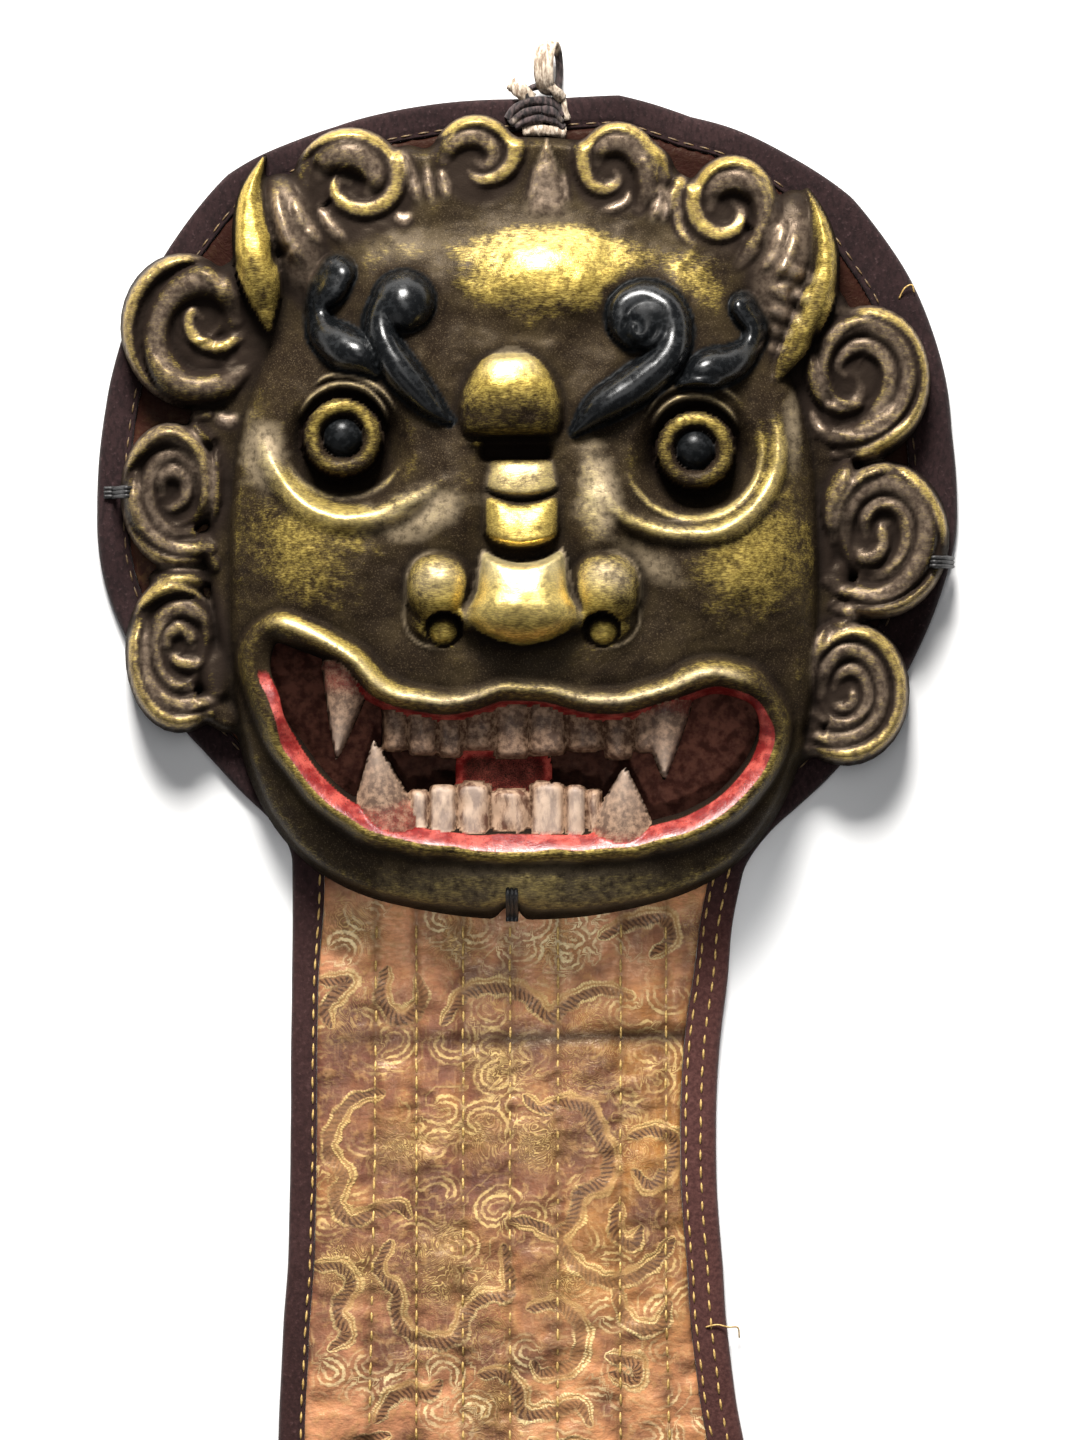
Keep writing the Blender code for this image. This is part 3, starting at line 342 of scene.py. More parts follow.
# Each rope: x, y and half width for the points of its crest, then the gold kept on the crest
COIL_ROPES = (
    # first lock, left of the crown
    ("-61 85.5 1, -58 90 1.7, -53 93.6 2, -46.5 95.4 2.3, -40 94.4 2.3, -35 91 2.1, -32.6 86 2, "
     "-33.4 80.5 1.9, -36.5 76.8 1.8, -41 75.4 1.7, -45.6 76.8 1.6, -48.2 80 1.5, -47.2 83.2 1.3, "
     "-44.6 82.4 1", 0.9),
    ("-52 84.5 1.6, -49.5 88.3 2.4, -44 89.4 2.8, -39.8 87.2 2.8, -38.2 83.2 2.4, -39.8 79.8 1.4", 0.15),
    # second lock
    ("-26.5 93 1, -22 95.4 1.6, -16.5 97.4 2, -11 97.8 2.1, -6 95.6 2.1, -3.4 91.3 1.9, -4.6 86.6 1.7, "
     "-8 83.6 1.5, -12 83 1.2, -14.8 84.8 0.8", 0.8),
    ("-21 88 1.2, -18.6 92.4 1.7, -14 94 1.9, -10.2 92.6 1.9, -8.4 89 1.7, -10.4 86.6 1.4, -12.8 87.4 1",
     0.3),
    # third lock
    ("33.4 84 1.6, 32.4 89.5 2, 29 94.4 2.1, 23 96.9 2, 17.6 95.6 1.9, 14.4 91.4 1.8, 13.9 86.2 1.7, "
     "16 81.8 1.6, 19.6 80.7 1.4, 22.6 82.6 1.2, 21.8 85.2 0.8", 0.85),
    ("17.2 87.2 1.2, 18.6 91 1.9, 22.6 92.4 2.2, 26.6 90.6 2.3, 29.2 86.4 2.1, 29.8 81 1.7, "
     "27.8 75.4 0.9", 0.1),
    # fourth lock, by the right horn
    ("61.8 79 1.5, 60.4 84.2 2, 55.6 87.4 2.2, 50.6 87.8 2, 45.2 85.2 1.9, 41.8 80.6 1.8, "
     "41.4 75.4 1.8, 43.8 71.2 1.8, 48.2 69.4 1.7, 52.2 71.2 1.5, 53.2 75 1.3, 51.2 77.4 0.9", 0.9),
    ("43.6 88 0.7, 39.6 84.6 1.1, 37.2 79.6 1.2, 37.4 74 1.2, 38.6 69.6 1.1, 41.2 66.8 0.7", 0.75),
    ("45.4 76 1.3, 46.6 80.6 2, 50.4 82.9 2.3, 55.2 82.2 2.4, 58.8 78.8 2.3, 59.4 73 2, 57 67 1.7, "
     "52.6 61.6 1", 0.15),
    # big lock on the left
    ("-76 64.2 1.3, -83 64.6 1.5, -89 62.9 1.5, -94.6 59 1.5, -98.4 53.4 1.5, -100.2 47 1.5, "
     "-99.9 41 1.4, -98.2 35.6 1.3, -95 30.4 1.4, -90.4 26.6 1.5, -85.4 24.6 1.4, -80 24.4 0.9", 0.6),
    ("-71 35 1, -76 31.9 2.2, -82 30.8 2.5, -87.2 32.4 2.6, -91 36.4 2.5, -92.8 42 2.2, -92 48.5 2.1, "
     "-88.6 54 2.2, -83.4 57.2 2.5, -78 57 2.6, -74.4 53 2.2, -73 48 1.4", 0.05),
    ("-71.8 43.6 0.9, -76 41.6 1.3, -80 41.6 1.4, -83.3 43.8 1.4, -84.8 47.2 1.3, -83.9 50 1.2, "
     "-81.6 48.6 0.8", 0.8),
    # middle lock on the left
    ("-102 7.4 0.9, -101 12 1.6, -97.2 16.8 2.2, -91.4 20.2 2.6, -86 19 2.6, -81.8 15 2.3, -79.9 9 2, "
     "-79.7 2 1.8, -80.8 -4.5 1", 0.35),
    ("-101.6 2.8 0.8, -101.6 -2 1.3, -99.2 -7 1.5, -95 -10.8 1.6, -90 -12.9 1.6, -84.5 -13.3 1.5, "
     "-78.8 -13.2 1.2", 0.45),
    ("-97.6 8 1.4, -98.2 2.6 1.7, -96.2 -2.8 1.6, -92.8 -6.6 1.5, -88.4 -8.9 1.4, -84 -9.4 1.3, "
     "-79.5 -9.2 1", 0.25),
    ("-82.6 5 1, -83.2 10.6 1.5, -87 14.2 1.6, -91.6 13.4 1.5, -94.4 9 1.4, -94.6 3 1.3, "
     "-92.2 -2.4 1.2, -88.6 -5 1.1, -84.6 -5 0.7", 0.0),
    ("-91.4 4.4 0.9, -91.4 8.6 1.4, -88.2 10 1.6, -85.4 7.6 1.5, -85.8 3.4 1.3, -88.6 1.2 1.1, "
     "-91.2 1.2 0.7", 0.1),
    # lower lock on the left
    ("-98.2 -25 0.9, -96.6 -22.2 1.6, -92.2 -19.2 2, -87 -17.8 2, -82.6 -18.8 1.8, -79.6 -22.6 1", 0.75),
    ("-97.6 -27.5 0.9, -98.6 -33 1.4, -98.4 -40 1.5, -96.4 -46 1.6, -92.6 -50.4 1.7, -88 -52.5 1.7, "
     "-83.8 -52.2 1.5, -79.6 -50.2 0.9", 0.6),
    ("-95 -28 0.8, -95.6 -34 1.1, -95 -40.4 1.2, -92.4 -45.2 1.5, -87.6 -48.2 1.6, -82.6 -47.8 1.4, "
     "-77.8 -46.2 1", 0.4),
    ("-79.8 -31 0.9, -81.2 -26.6 1.5, -85.4 -24.2 1.7, -89.8 -25.2 1.6, -92.4 -29.6 1.4, "
     "-92.8 -35.4 1.3, -91.2 -40.4 1.2, -88 -43.4 1.3, -82.8 -43.6 0.8", 0.1),
    ("-90.2 -35 0.8, -90 -31 1.3, -87.2 -29.1 1.5, -84.6 -30.6 1.3, -83.8 -33.6 0.9", 0.5),
    ("-89.4 -35.4 0.8, -87.6 -37.2 1.2, -84.4 -38.1 1.3, -81.6 -37.5 0.8", 0.45),
    # upper lock on the right
    ("77.6 50.2 1.2, 84 50.9 1.6, 90 49.3 1.7, 95.6 45.6 1.7, 99.2 39.6 1.6, 100.3 33 1.6, "
     "98.8 26.8 1.6, 95.2 21.8 1.5, 90 18.2 1.5, 84 15.4 1.3, 77 14.4 0.8", 0.65),
    ("73 19.8 1, 78 18.7 1.6, 84.6 20 2, 90 23.6 2, 93.8 28.6 1.8, 95 34.8 1.7, 93 41 1.7, "
     "88.6 45 1.8, 83 46.6 1.9, 77.6 44.8 1.9, 73.8 40.4 1.9, 72.4 34.6 2, 74 29.4 2, 77.4 26.6 1.9, "
     "81.4 27 1.5, 83.2 30.4 1.3, 82.2 33.4 0.8", 0.1),
    ("83.6 22.6 0.8, 87.8 26 1.5, 90.2 31 1.6, 90 36.6 1.6, 87 40.6 1.6, 82.8 41.6 1.6, 79 39.4 1.5, "
     "77.5 36.2 1.2, 79.2 34.2 0.8", 0.3),
    # middle lock on the right
    ("76.4 -7 0.9, 76.3 -0.5 1.9, 78.4 5.8 2.4, 82.6 10.2 2.5, 88 11.8 2.4, 92.6 10.4 1.2", 0.35),
    ("91.6 12 0.8, 96 8.8 1.2, 100.4 3.6 1.3, 103.2 -2 1.3, 104.2 -7.6 0.9", 0.8),
    ("103.4 -15 1, 101.6 -18.6 1.9, 98.6 -22 2.2, 94.6 -24.6 2.2, 90 -25.8 2, 84 -25.8 1.7, "
     "76.4 -23.6 0.9", 0.25),
    ("79.6 -8 1, 79.4 -1.6 1.7, 82 3.6 1.9, 86.8 6.6 2, 92 6.3 2, 96.6 2.8 1.9, 99.2 -3 1.9, "
     "98.4 -9.6 1.9, 95.4 -15.6 1.9, 91 -19.6 1.8, 86 -21 1.7, 80.6 -19.8 1.5, 74.6 -17.4 0.9", 0.1),
    ("84.4 -6 0.9, 84.4 -1.4 1.4, 87 1.8 1.5, 90.8 2 1.6, 93.8 -0.6 1.6, 94.8 -5.4 1.5, "
     "93.6 -10.6 1.5, 90.4 -14.8 1.4, 86 -16.6 0.8", 0.15),
    ("82 -9.4 0.9, 84 -11.4 1.4, 87 -10.8 1.5, 88.8 -7.8 1.3, 88.4 -4.2 1.2, 90 -2.6 0.8", 0.2),
    # lower lock on the right
    ("70.6 -50 0.9, 70.2 -44 1.4, 70.8 -37.4 1.6, 74 -32.2 1.9, 79.4 -29.7 2, 85 -30.6 1.9, "
     "89.8 -34.6 1.8, 92.8 -41 1.7, 93.2 -48 1.7, 91 -54.2 1.7, 86.4 -58.6 1.7, 80 -60.8 1.6, "
     "73 -60.4 1.4, 67.6 -58.6 0.8", 0.6),
    ("73.2 -46 1, 74.2 -39.6 1.5, 77.8 -35.2 1.7, 82.6 -34.9 1.7, 86.8 -38.6 1.6, 88.6 -44.8 1.5, "
     "87.4 -51 1.5, 83.6 -55.2 1.5, 78 -57 1.5, 72.8 -56 1.3, 69 -53.2 0.8", 0.2),
    ("76.4 -44 0.8, 77.8 -41 1.2, 80.8 -39.4 1.4, 83.8 -41.2 1.3, 85 -45.4 1.3, 84 -49.6 1.3, "
     "80.6 -52.6 1.3, 76.2 -52.8 1.2, 72.4 -50.6 0.8", 0.15),
    ("81 -44.4 0.8, 81.2 -47.4 1.1, 79 -49.2 1.2, 76.4 -48.2 0.8", 0.15),
)
# Combed strands that run from the coils down to the hairline: a rope each, and its rise
COMBED = (
    ("-58.6 80 0.7, -57 74.6 1.5, -54 70 1.6, -50.6 65.6 0.8", 2.2),
    ("-52.4 78 0.7, -50.4 73 1.3, -47.6 69.6 1.5, -44.4 67 0.8", 2.0),
    ("-63.4 83 0.8, -62.6 76 1.5, -60.8 69.6 1.8, -57.6 64 2, -54.8 60 0.9", 2.2),
    ("-31.6 92 0.7, -30 86 1.3, -28.2 80.4 1.5, -26.6 75.6 0.7", 1.5),
    ("-22.4 86 0.8, -20.8 81.6 1.5, -20.2 77.2 0.8", 1.7),
    ("-25.6 88 0.6, -24.8 82 1.1, -23.6 76 0.6", 1.2),
    ("-33.6 74.6 0.8, -31 73 1.4, -29 74.8 0.7", 1.0),
    ("33.8 83 0.9, 32.6 77.4 1.6, 30.8 71.4 0.8", 2.0),
    ("36 82 0.7, 35 76.6 1.2, 33.4 71 0.7", 1.5),
    ("25.4 81 0.6, 24.6 77.6 1, 21.6 75.8 1, 17.6 75.2 0.5", 1.4),
    ("63.6 75 0.8, 62.8 69 1.6, 60.4 63.4 1.6, 56.8 58.4 0.8", 2.2),
    ("67 72 0.7, 66 66.4 1.4, 63.6 61.4 1.5, 60.6 56.4 0.8", 1.9),
    ("60.4 61.6 0.8, 66.6 59.6 1.8, 73 57.4 1", 1.3),
    ("58.6 56 0.9, 64.8 54.2 2, 71 52.2 1.1", 1.5),
    ("58.4 50.8 0.9, 63.8 49.2 1.8, 68.8 47.6 1", 1.2),
    ("58.8 46 0.9, 62.8 45 1.8, 66.4 43.8 1", 1.2),
    ("59.4 41.6 0.8, 62 41 1.4, 64.4 40.2 0.8", 0.9),
    # the tuft at the crown
    ("2.4 88 0.6, 1.6 82 1, 0.2 76 0.7", 1.1),
    ("8.4 86 0.6, 9.2 80.6 0.9, 10 76 0.6", 0.9),
    # roots of the side locks
    ("-79 24.6 0.8, -75 22.6 1.5, -71.6 24.4 0.8", 1.0),
    ("76 19.4 0.6, 72.4 21.6 1.1, 70.4 26 0.6", 0.9),
)
EARS = (((-58.5, 68.5), (7.6, 17.0), 16), ((64.5, 60.0), (9.6, 18.5), -12))
# Low ground that joins a lock or a horn to its neighbour: centre, radii, turn
WEBS = (
    "-72 50 7 13 10, -61 74 8 11 10, 65 66 8 15 -10, 31 84 6 8 0, 76 47 5 9 0, -78 22 7 6 0, "
    "76 8 6 10 0, -30 84 7 8 0, -76.4 40.3 4 4 0, 76.4 24.6 4 4 0, 68.5 54 4 5 0, -77.5 -41 5 8 0, "
    "-87 -16.4 8 3.4 0, 77 -16 4 5 0, 78 -26 5 4.5 0, 71.5 -52 4 4.5 0, 55 62 5 6 0"
)
# The tuft at the crown, a wedge with its point up: heights up it, and the half width at each
TUFT_X, TUFT_SHAPE = 4.6, ((69.0, 75, 80, 85, 89, 92.5), (5.6, 5.4, 4.4, 3.2, 1.8, 0.3))

# %% Height of the hair
def hair_relief(x, y, edge, marks):
    """Height of the hair: low ground, a pad under each coil, its ropes, the tuft and the horns."""
    z = HAIR_LEVEL + 3.5 * step_up(edge, 4, 16)
    for eye, radii, *_, half_widths in LOCKS:
        r = oval(x, y, eye, (radii[0] + half_widths[0], radii[1] + half_widths[0]))
        inside = 1 - step_up(r, 0.82, 1.05)
        pad = HAIR_LEVEL + 1.3 + 1.3 * mound(r * 0.9)
        z = z * (1 - inside) + pad * inside
        z = z - 0.8 * np.exp(-((r - 1.05) / 0.1) ** 2) * step_up(edge, 2, 5)
        raise_mark(marks, "hair", inside)
    for table, gold in COIL_ROPES:
        points, half_widths = rope(table)
        path = curve_through(points, 6)
        ratio, beyond, along, half = strand(x, y, path, ROPE_FULLNESS * half_widths)
        crest = dome(ratio)
        whole = 0.45 + 0.55 * step_up(along, 0, 0.12) * (1 - step_up(along, 0.88, 1.0))
        height = HAIR_LEVEL + 2.0 + (0.1 + 1.16 * crest) * half * whole
        z = laid_on(z, ratio < 1, height, 0.45)
        raise_mark(marks, "hair", step_up(-beyond, -1.0, 0.2))
        raise_mark(marks, "gold", 0.5 * gold ** 1.4 * whole * step_up(crest, 0.7, 1.0))
        # Paler crests: painted highlight, with rubbed wear.
        raise_mark(marks, "bright", (0.36 + 0.22 * gold) * whole * step_up(crest, 0.62, 1.0))
    across = np.abs(x - TUFT_X) / np.interp(y, *TUFT_SHAPE, left=0.1, right=0.1)
    tuft = HAIR_LEVEL + 2.6 * step_up(y, 68, 76) + 3.4 * dome(across) * step_up(y, 68, 78)
    z = laid_on(z, across < 1, tuft, 1.2)
    on_tuft = (1 - step_up(across, 0.5, 1.3)) * step_up(y, 70, 78)
    raise_mark(marks, "hair", on_tuft)
    # The tuft is paler: painted highlight.
    raise_mark(marks, "bright", 0.72 * on_tuft)
    for centre, radii, turn in EARS:
        r = oval(x, y, centre, radii, turn)
        z = smooth_max(z, HAIR_LEVEL + 1.8 + 6.0 * mound(r * 0.8), 2.5)
        raise_mark(marks, "hair", 1 - step_up(r, 0.95, 1.25))
        # The ears are paler towards their middles: painted highlight.
        raise_mark(marks, "bright", 0.32 * (1 - step_up(r, 0.6, 1.1)))
    for (points, half_widths), gold in zip(map(rope, HORNS), HORN_GOLD):
        ratio, beyond, along, half = strand(x, y, curve_through(points), half_widths)
        height = HAIR_LEVEL + 3.0 + 3.2 * step_up(along, 0.05, 0.8) + 1.15 * half * dome(ratio ** 1.3)
        z = laid_on(z, ratio < 1, height, 1.0)
        on_horn = step_up(-beyond, -0.4, 0.8)
        marks["hair"] = marks["hair"] * (1 - on_horn)
        marks["bright"] = marks["bright"] * (1 - on_horn)
        worn = (1 - 0.6 * step_up(along, 0.5, 1.0)) * (0.78 + 0.45 * unevenness(x, y * 0.5, 3.0, 13))
        raise_mark(marks, "gold", on_horn * gold * worn)
    return z


def comb_strands(x, y, z, marks):
    """Raises the combed strands as soft ridges on whatever slope they run over."""
    for table, rise in COMBED:
        points, half_widths = rope(table)
        ratio, beyond, along, _ = strand(x, y, curve_through(points, 6), 1.3 * half_widths)
        fade = step_up(along, 0, 0.3) * (1 - step_up(along, 0.7, 1.0))
        ridge = fade * mound(ratio * 0.8)
        z = z + 0.72 * rise * ridge
        raise_mark(marks, "hair", fade * step_up(-beyond, -1.6, 0.2))
        # The strands' ridges are paler: painted highlight.
        raise_mark(marks, "bright", 0.85 * ridge)
    return z

# %% [markdown]
# ## Skin, eyes, nose and brows
#
# The skin is a vault with soft mounds on it for forehead, cheeks and chin. Sockets are sunk into
# it, and ringed eyeballs are set in the sockets. The nose is a stack of folded pads over a broad
# tip with a curled wing on each side, and the brows are thick black commas laid on top.

# %% Places of the skin, eyes, nose and brows
# Mounds and hollows of the skin: centre, radii, turn, height
SWELLINGS = (
    "4.5 61 31 19 0 7.5, -33 60 24 16 0 4, 42 59 24 16 0 4, -35 44 24 20 0 2.5, 40 44 24 20 0 2.5, "
    "-52 -14 25 26 0 4, 52 -14 25 27 0 4, 0 -36 46 22 0 4, -19 -1 10 24 -4 3.4, 17 -1 10 24 4 3.4, "
    "2 -93 52 12 0 3, -19 41 9 15 24 -1.6, 13 39 8 15 -22 -1.6"
)
SOCKETS, SOCKET_RADII, SOCKET_DEPTH = ((-45.2, 15.0), (42.3, 12.5)), (17.5, 17.0), 14.0
EYEBALLS = ((-46.0, 18.3), (41.6, 15.2))
BALL_RADIUS, IRIS_RING, IRIS_RING_HALF, PUPIL_RADIUS = 10.4, 7.5, 2.3, 5.0
LOWER_LIDS = (
    ("-67.5 23 1.4, -64.5 12 3, -57.5 3.4 3.6, -48 -1.6 3.8, -37 -1.4 3.8, -27 3.5 3.4, -19 9 1", 2.8),
    ("17.6 10 1, 21.5 0.5 2.2, 30 -4.4 2.8, 40.5 -6 3, 50.5 -4 3, 58 2.4 2.8, 62.2 11 2.6, "
     "62.4 21 2.2, 60 29 1", 2.6),
    ("23.2 13 0.6, 27 5 1.1, 33 0 1.3, 41 -2 1.3, 50 0.6 1.3, 56.2 7 1.2, 58.2 15 1.1, 57 24 0.6", 1.2),
    ("-61.5 16 0.7, -56.5 7.4 1.3, -46.5 3.4 1.4, -36.5 6.2 1.3, -30.5 13 0.6", 1.0),
)
UPPER_LIDS = (
    ("-57.4 22 0.6, -54 28 1, -48 31.2 1.1, -41.6 30.6 1.1, -36.6 26.4 1, -34.2 20 0.5", 2.6),
    ("-55 30 0.5, -49.4 33.6 0.9, -42 33 1.1, -35.6 29 0.9, -32 23 0.4", 1.6),
    ("30.2 19 0.6, 32.8 24.6 1, 38 28 1.1, 44.6 28 1.1, 50 24.6 1, 53 19 0.5", 2.6),
    ("28.6 22 0.5, 32.6 28.4 0.9, 39.6 31.6 1.1, 47.6 30.8 0.9, 54.4 26 0.5", 1.8),
)
# Boss and tip of the nose: heights up the face, and the half width at each
BOSS_X, BOSS_SHAPE = -4.2, ((18.2, 22, 26, 30, 34, 37, 39.3, 40.6),
                            (12.4, 13.4, 13.5, 12.4, 10.4, 8.2, 5.4, 2.4))
TIP_X, TIP_SHAPE = -1.2, ((-34.2, -32.4, -30, -27, -24, -20, -15, -11, -8.6),
                          (0.2, 8.0, 12.6, 15.0, 14.6, 12.6, 11.6, 10.8, 9.6))
NOSE_X = -1.6
NOSE_WINGS = (((-22.2, -19.4), (8.3, 9.2)), ((19.2, -19.4), (8.9, 9.4)))
NOSTRIL_BEADS, NOSTRIL_LEVEL = ((-21.0, -29.8), (18.6, -29.9)), 21.0
BROWS = (
    "-19.4 22.4 1, -22.6 24.8 3, -27.1 29.3 4, -32.1 35.4 4.4, -35.6 41.6 4, -37 46.6 4, -36 51 3.6",
    "-48 59.6 4.9, -49.2 57.4 5.1, -52.4 51.6 3, -51.2 45.4 4.4, -47 41.4 5.4, -42.2 38.6 4.6, "
    "-37.8 34.2 1.2",
    "11.6 19.6 1, 17.6 25.2 3.8, 26.6 31 4.8, 34.2 37.8 5, 36.4 45 4.8, 34.2 51 4.6, 29 53.4 4.4, "
    "24.2 51 4.2, 23.6 46.4 4, 26 43.6 3.6",
    "54.2 51 3.9, 55 49.6 3.8, 57 46.4 2.7, 55.6 41.2 3.9, 50.9 37 4.8, 44.8 35 4.4, 38.6 32 1.6",
)
# The curls: a ball at the left one's end, a pad in the right one, with a spiral groove cut in it
BROW_CURLS = (((-31.0, 52.2), (7.9, 7.8), 1.0, 6.6), ((29.8, 46.8), (6.9, 7.2), 2.6, 6.1))
CURL_GROOVE = ((31.4, 49.6), (32.0, 45.4), (29.6, 42.0), (25.6, 41.8), (23.6, 44.4), (24.8, 47.0),
               (27.2, 46.6), (27.6, 44.8))

# %% Skin
def skin_relief(x, y):
    """Height of the face itself: the vault of the head with brow, cheeks, chin and hollows."""
    power = JAW_POWER - 0.5 * (1 - step_up(-y, 0, 30))
    u, v = np.abs((x + 1.0) / 73.5), np.abs((y + 13.5) / 86.8)
    size = (u ** power + v ** power) ** (1 / power)
    crown = step_up(y, 25, 65)
    vault = np.maximum(1 - size ** 2.6, 0) ** (0.5 + 0.55 * crown)
    z = 7.0 + 17.0 * vault - (60 - 45 * crown) * np.maximum(size - 1, 0)
    for centre, radii, turn, height in patches(SWELLINGS):
        z = z + height * mound(oval(x, y, centre, radii, turn))
    return z

# %% Eyes
def eye_relief(x, y, z, marks):
    """Cuts the sockets into the skin, and sets the lids and the ringed eyeballs in them."""
    for centre in SOCKETS:
        sunk = mound(oval(x, y, centre, SOCKET_RADII)) ** 0.8
        z = z - SOCKET_DEPTH * sunk
        # Painted shade in the sockets.
        raise_mark(marks, "dark", 0.4 * sunk)
    for lids, shine, pale in ((LOWER_LIDS, 0.34, 0.28), (UPPER_LIDS, 0.12, 0.5)):
        for table, height in lids:
            points, half_widths = rope(table)
            ratio, _, along, _ = strand(x, y, curve_through(points), half_widths)
            lift = mound(ratio * 0.8) * step_up(along, 0, 0.2) * (1 - step_up(along, 0.8, 1))
            z = z + height * lift
            # Gold on the lids, a painted highlight on their crests, and less of the socket's painted shade.
            raise_mark(marks, "gold", shine * lift ** 1.5)
            raise_mark(marks, "bright", pale * lift ** 2)
            marks["dark"] = marks["dark"] * (1 - 0.7 * lift)
    for centre in EYEBALLS:
        r = np.hypot(x - centre[0], y - centre[1])
        ball = np.where(r < PUPIL_RADIUS + 0.5, 19.4, 13.5 + 9.0 * dome(r / BALL_RADIUS))
        from_ring = (r - IRIS_RING) / IRIS_RING_HALF
        ball = np.where(np.abs(from_ring) < 1, np.maximum(ball, 21.0 + 2.4 * dome(from_ring)), ball)
        ball = np.where(r < PUPIL_RADIUS, 19.8 + 4.2 * dome(r / PUPIL_RADIUS), ball)
        z = np.where(r < BALL_RADIUS, ball, z)
        on_ring = mound(from_ring)
        # Painted shade on the ball round its ring, and more gold on the ring's upper side, which faces the
        # light: a painted highlight.
        set_mark(marks, "dark", r < BALL_RADIUS + 1, 0.6 * (1 - on_ring))
        facing = 0.17 + 0.17 * np.clip((y - centre[1]) / IRIS_RING, -1, 1)
        marks["gold"] = np.maximum(marks["gold"] * (r > BALL_RADIUS), facing * on_ring)
        marks["bright"] = marks["bright"] * (r > BALL_RADIUS + 0.3)
        raise_mark(marks, "black", 1 - step_up(r, PUPIL_RADIUS - 0.3, PUPIL_RADIUS + 0.2))
    return z

# %% Boss between the eyes
def boss_relief(x, y, z, marks):
    """Adds the boss: a dome across, rounded at its top, over a dark gap and a thin ledge."""
    gap = step_up(9.8 - np.abs(x + 3.0), 0, 3) * step_up(y, 11.5, 13.5) * (1 - step_up(y, 17, 19))
    z = z - 3.5 * gap
    # Painted shade in the gap under the boss.
    raise_mark(marks, "dark", 0.8 * gap)
    ledge = np.exp(-((y - 16.7) / 0.7) ** 2) * step_up(11.6 - np.abs(x - BOSS_X), 0, 4)
    z = z + 1.8 * ledge
    raise_mark(marks, "gold", 0.5 * ledge)
    across = np.abs(x - BOSS_X) / np.interp(y, *BOSS_SHAPE, left=0.1, right=0.1)
    rounding = np.where(y > 29, dome((y - 29) / 11.8), 1 - 0.28 * np.clip((29 - y) / 10.8, 0, 1) ** 2)
    boss_low, boss_high = BOSS_SHAPE[0][0], BOSS_SHAPE[0][-1]
    foot = np.clip((y - boss_low) / 1.4, 0, 1) ** 0.5
    boss = 20.5 - 5.0 * step_up(y, 37, boss_high) + 12.0 * dome(across ** 1.4) * rounding * foot
    on_boss = (across < 1) & (y > boss_low) & (y < boss_high)
    z = laid_on(z, on_boss, boss, 0.8)
    # More gold and a painted highlight towards the boss's top, and painted shade on its lower part, which
    # faces away from the light.
    raise_mark(marks, "gold", on_boss * (1 - step_up(across, 0.72, 0.98))
               * (0.12 + 0.66 * step_up(y, 23, 36)) * step_up(x, -18, -10.5))
    raise_mark(marks, "dark", 0.45 * on_boss * (1 - step_up(y, 19, 30)))
    raise_mark(marks, "bright", on_boss * 0.5 * step_up(y, 31, 38) * (1 - step_up(across, 0.6, 0.95)))
    return z

# %% Folds of the nose
def nose_creases(x):
    """Heights of the two creases across the nose: each hangs lowest on its axis, as a parabola."""
    sag = np.maximum(1 - ((x - NOSE_X) / 10.5) ** 2, -0.3)
    return 5.6 - 3.2 * sag, -6.4 - 3.6 * sag


def fold_relief(x, y, z, marks):
    """Adds the two folds: each swells as a quarter circle from its top edge down to its crease."""
    from_axis, bridge_top = x - NOSE_X, 12.8
    first_crease, second_crease = nose_creases(x)
    upper = np.clip((bridge_top - y) / (bridge_top - first_crease), 0, 1)
    lower = np.clip((first_crease - y) / (first_crease - second_crease), 0, 1)
    is_upper = y > first_crease
    part = np.where(is_upper, upper, lower)
    rise = np.sqrt(1 - (1 - part) ** 2) * (1 - 0.85 * step_up(part, 0.8, 1.0) ** 1.5)
    half = np.where(is_upper, 9.0 + 1.6 * upper, 10.6 - 0.6 * lower)
    side = np.maximum(1 - np.abs(from_axis / half) ** 3.2, 0) ** 0.5
    bridge = (y < bridge_top) & (y > second_crease) & (np.abs(from_axis) < half)
    folds = np.where(is_upper, 4.5 + 5.0 * rise, 6.0 + 6.8 * rise)
    z = laid_on(z, bridge, 19.0 + folds * side, 0.8)
    # Gold on the folds, with a painted highlight on the upper fold.
    on_fold = bridge * step_up(side, 0.4, 0.85) * step_up(rise, 0.25, 0.6)
    raise_mark(marks, "gold", on_fold * np.where(is_upper, 0.42, 0.6))
    raise_mark(marks, "bright", on_fold * np.where(is_upper, 0.34, 0.06))
    return z

# %% Tip of the nose
def tip_relief(x, y, z, marks):
    """Adds the tip: a dome across, full in the middle, lower towards its top and its point."""
    across = np.abs(x - TIP_X) / np.interp(y, *TIP_SHAPE, left=0.1, right=0.1)
    toward_top = np.clip((y + 24) / 15.4, 0, 1)
    rounding = np.where(y > -24, 1 - 0.4 * toward_top ** 1.3, dome((-24 - y) / 10.4) ** 0.9)
    top_edge = nose_creases(x)[1] - 2.6
    lip = np.clip((top_edge - y) / 2.2, 0, 1) ** 0.5
    on_tip = (across < 1) & (y < top_edge) & (y > TIP_SHAPE[0][0])
    z = laid_on(z, on_tip, 23.0 + 16.5 * dome(across ** 1.5) * rounding * lip, 1.0)
    # More gold and a painted highlight towards the tip's top, which faces the light.
    raise_mark(marks, "gold", on_tip * (1 - step_up(across, 0.8, 1.0)) * (0.62 + 0.38 * step_up(y, -29, -20)))
    raise_mark(marks, "bright", on_tip * (0.22 * step_up(y, -31, -24) + 0.45 * step_up(y, -21, -13)))
    return z

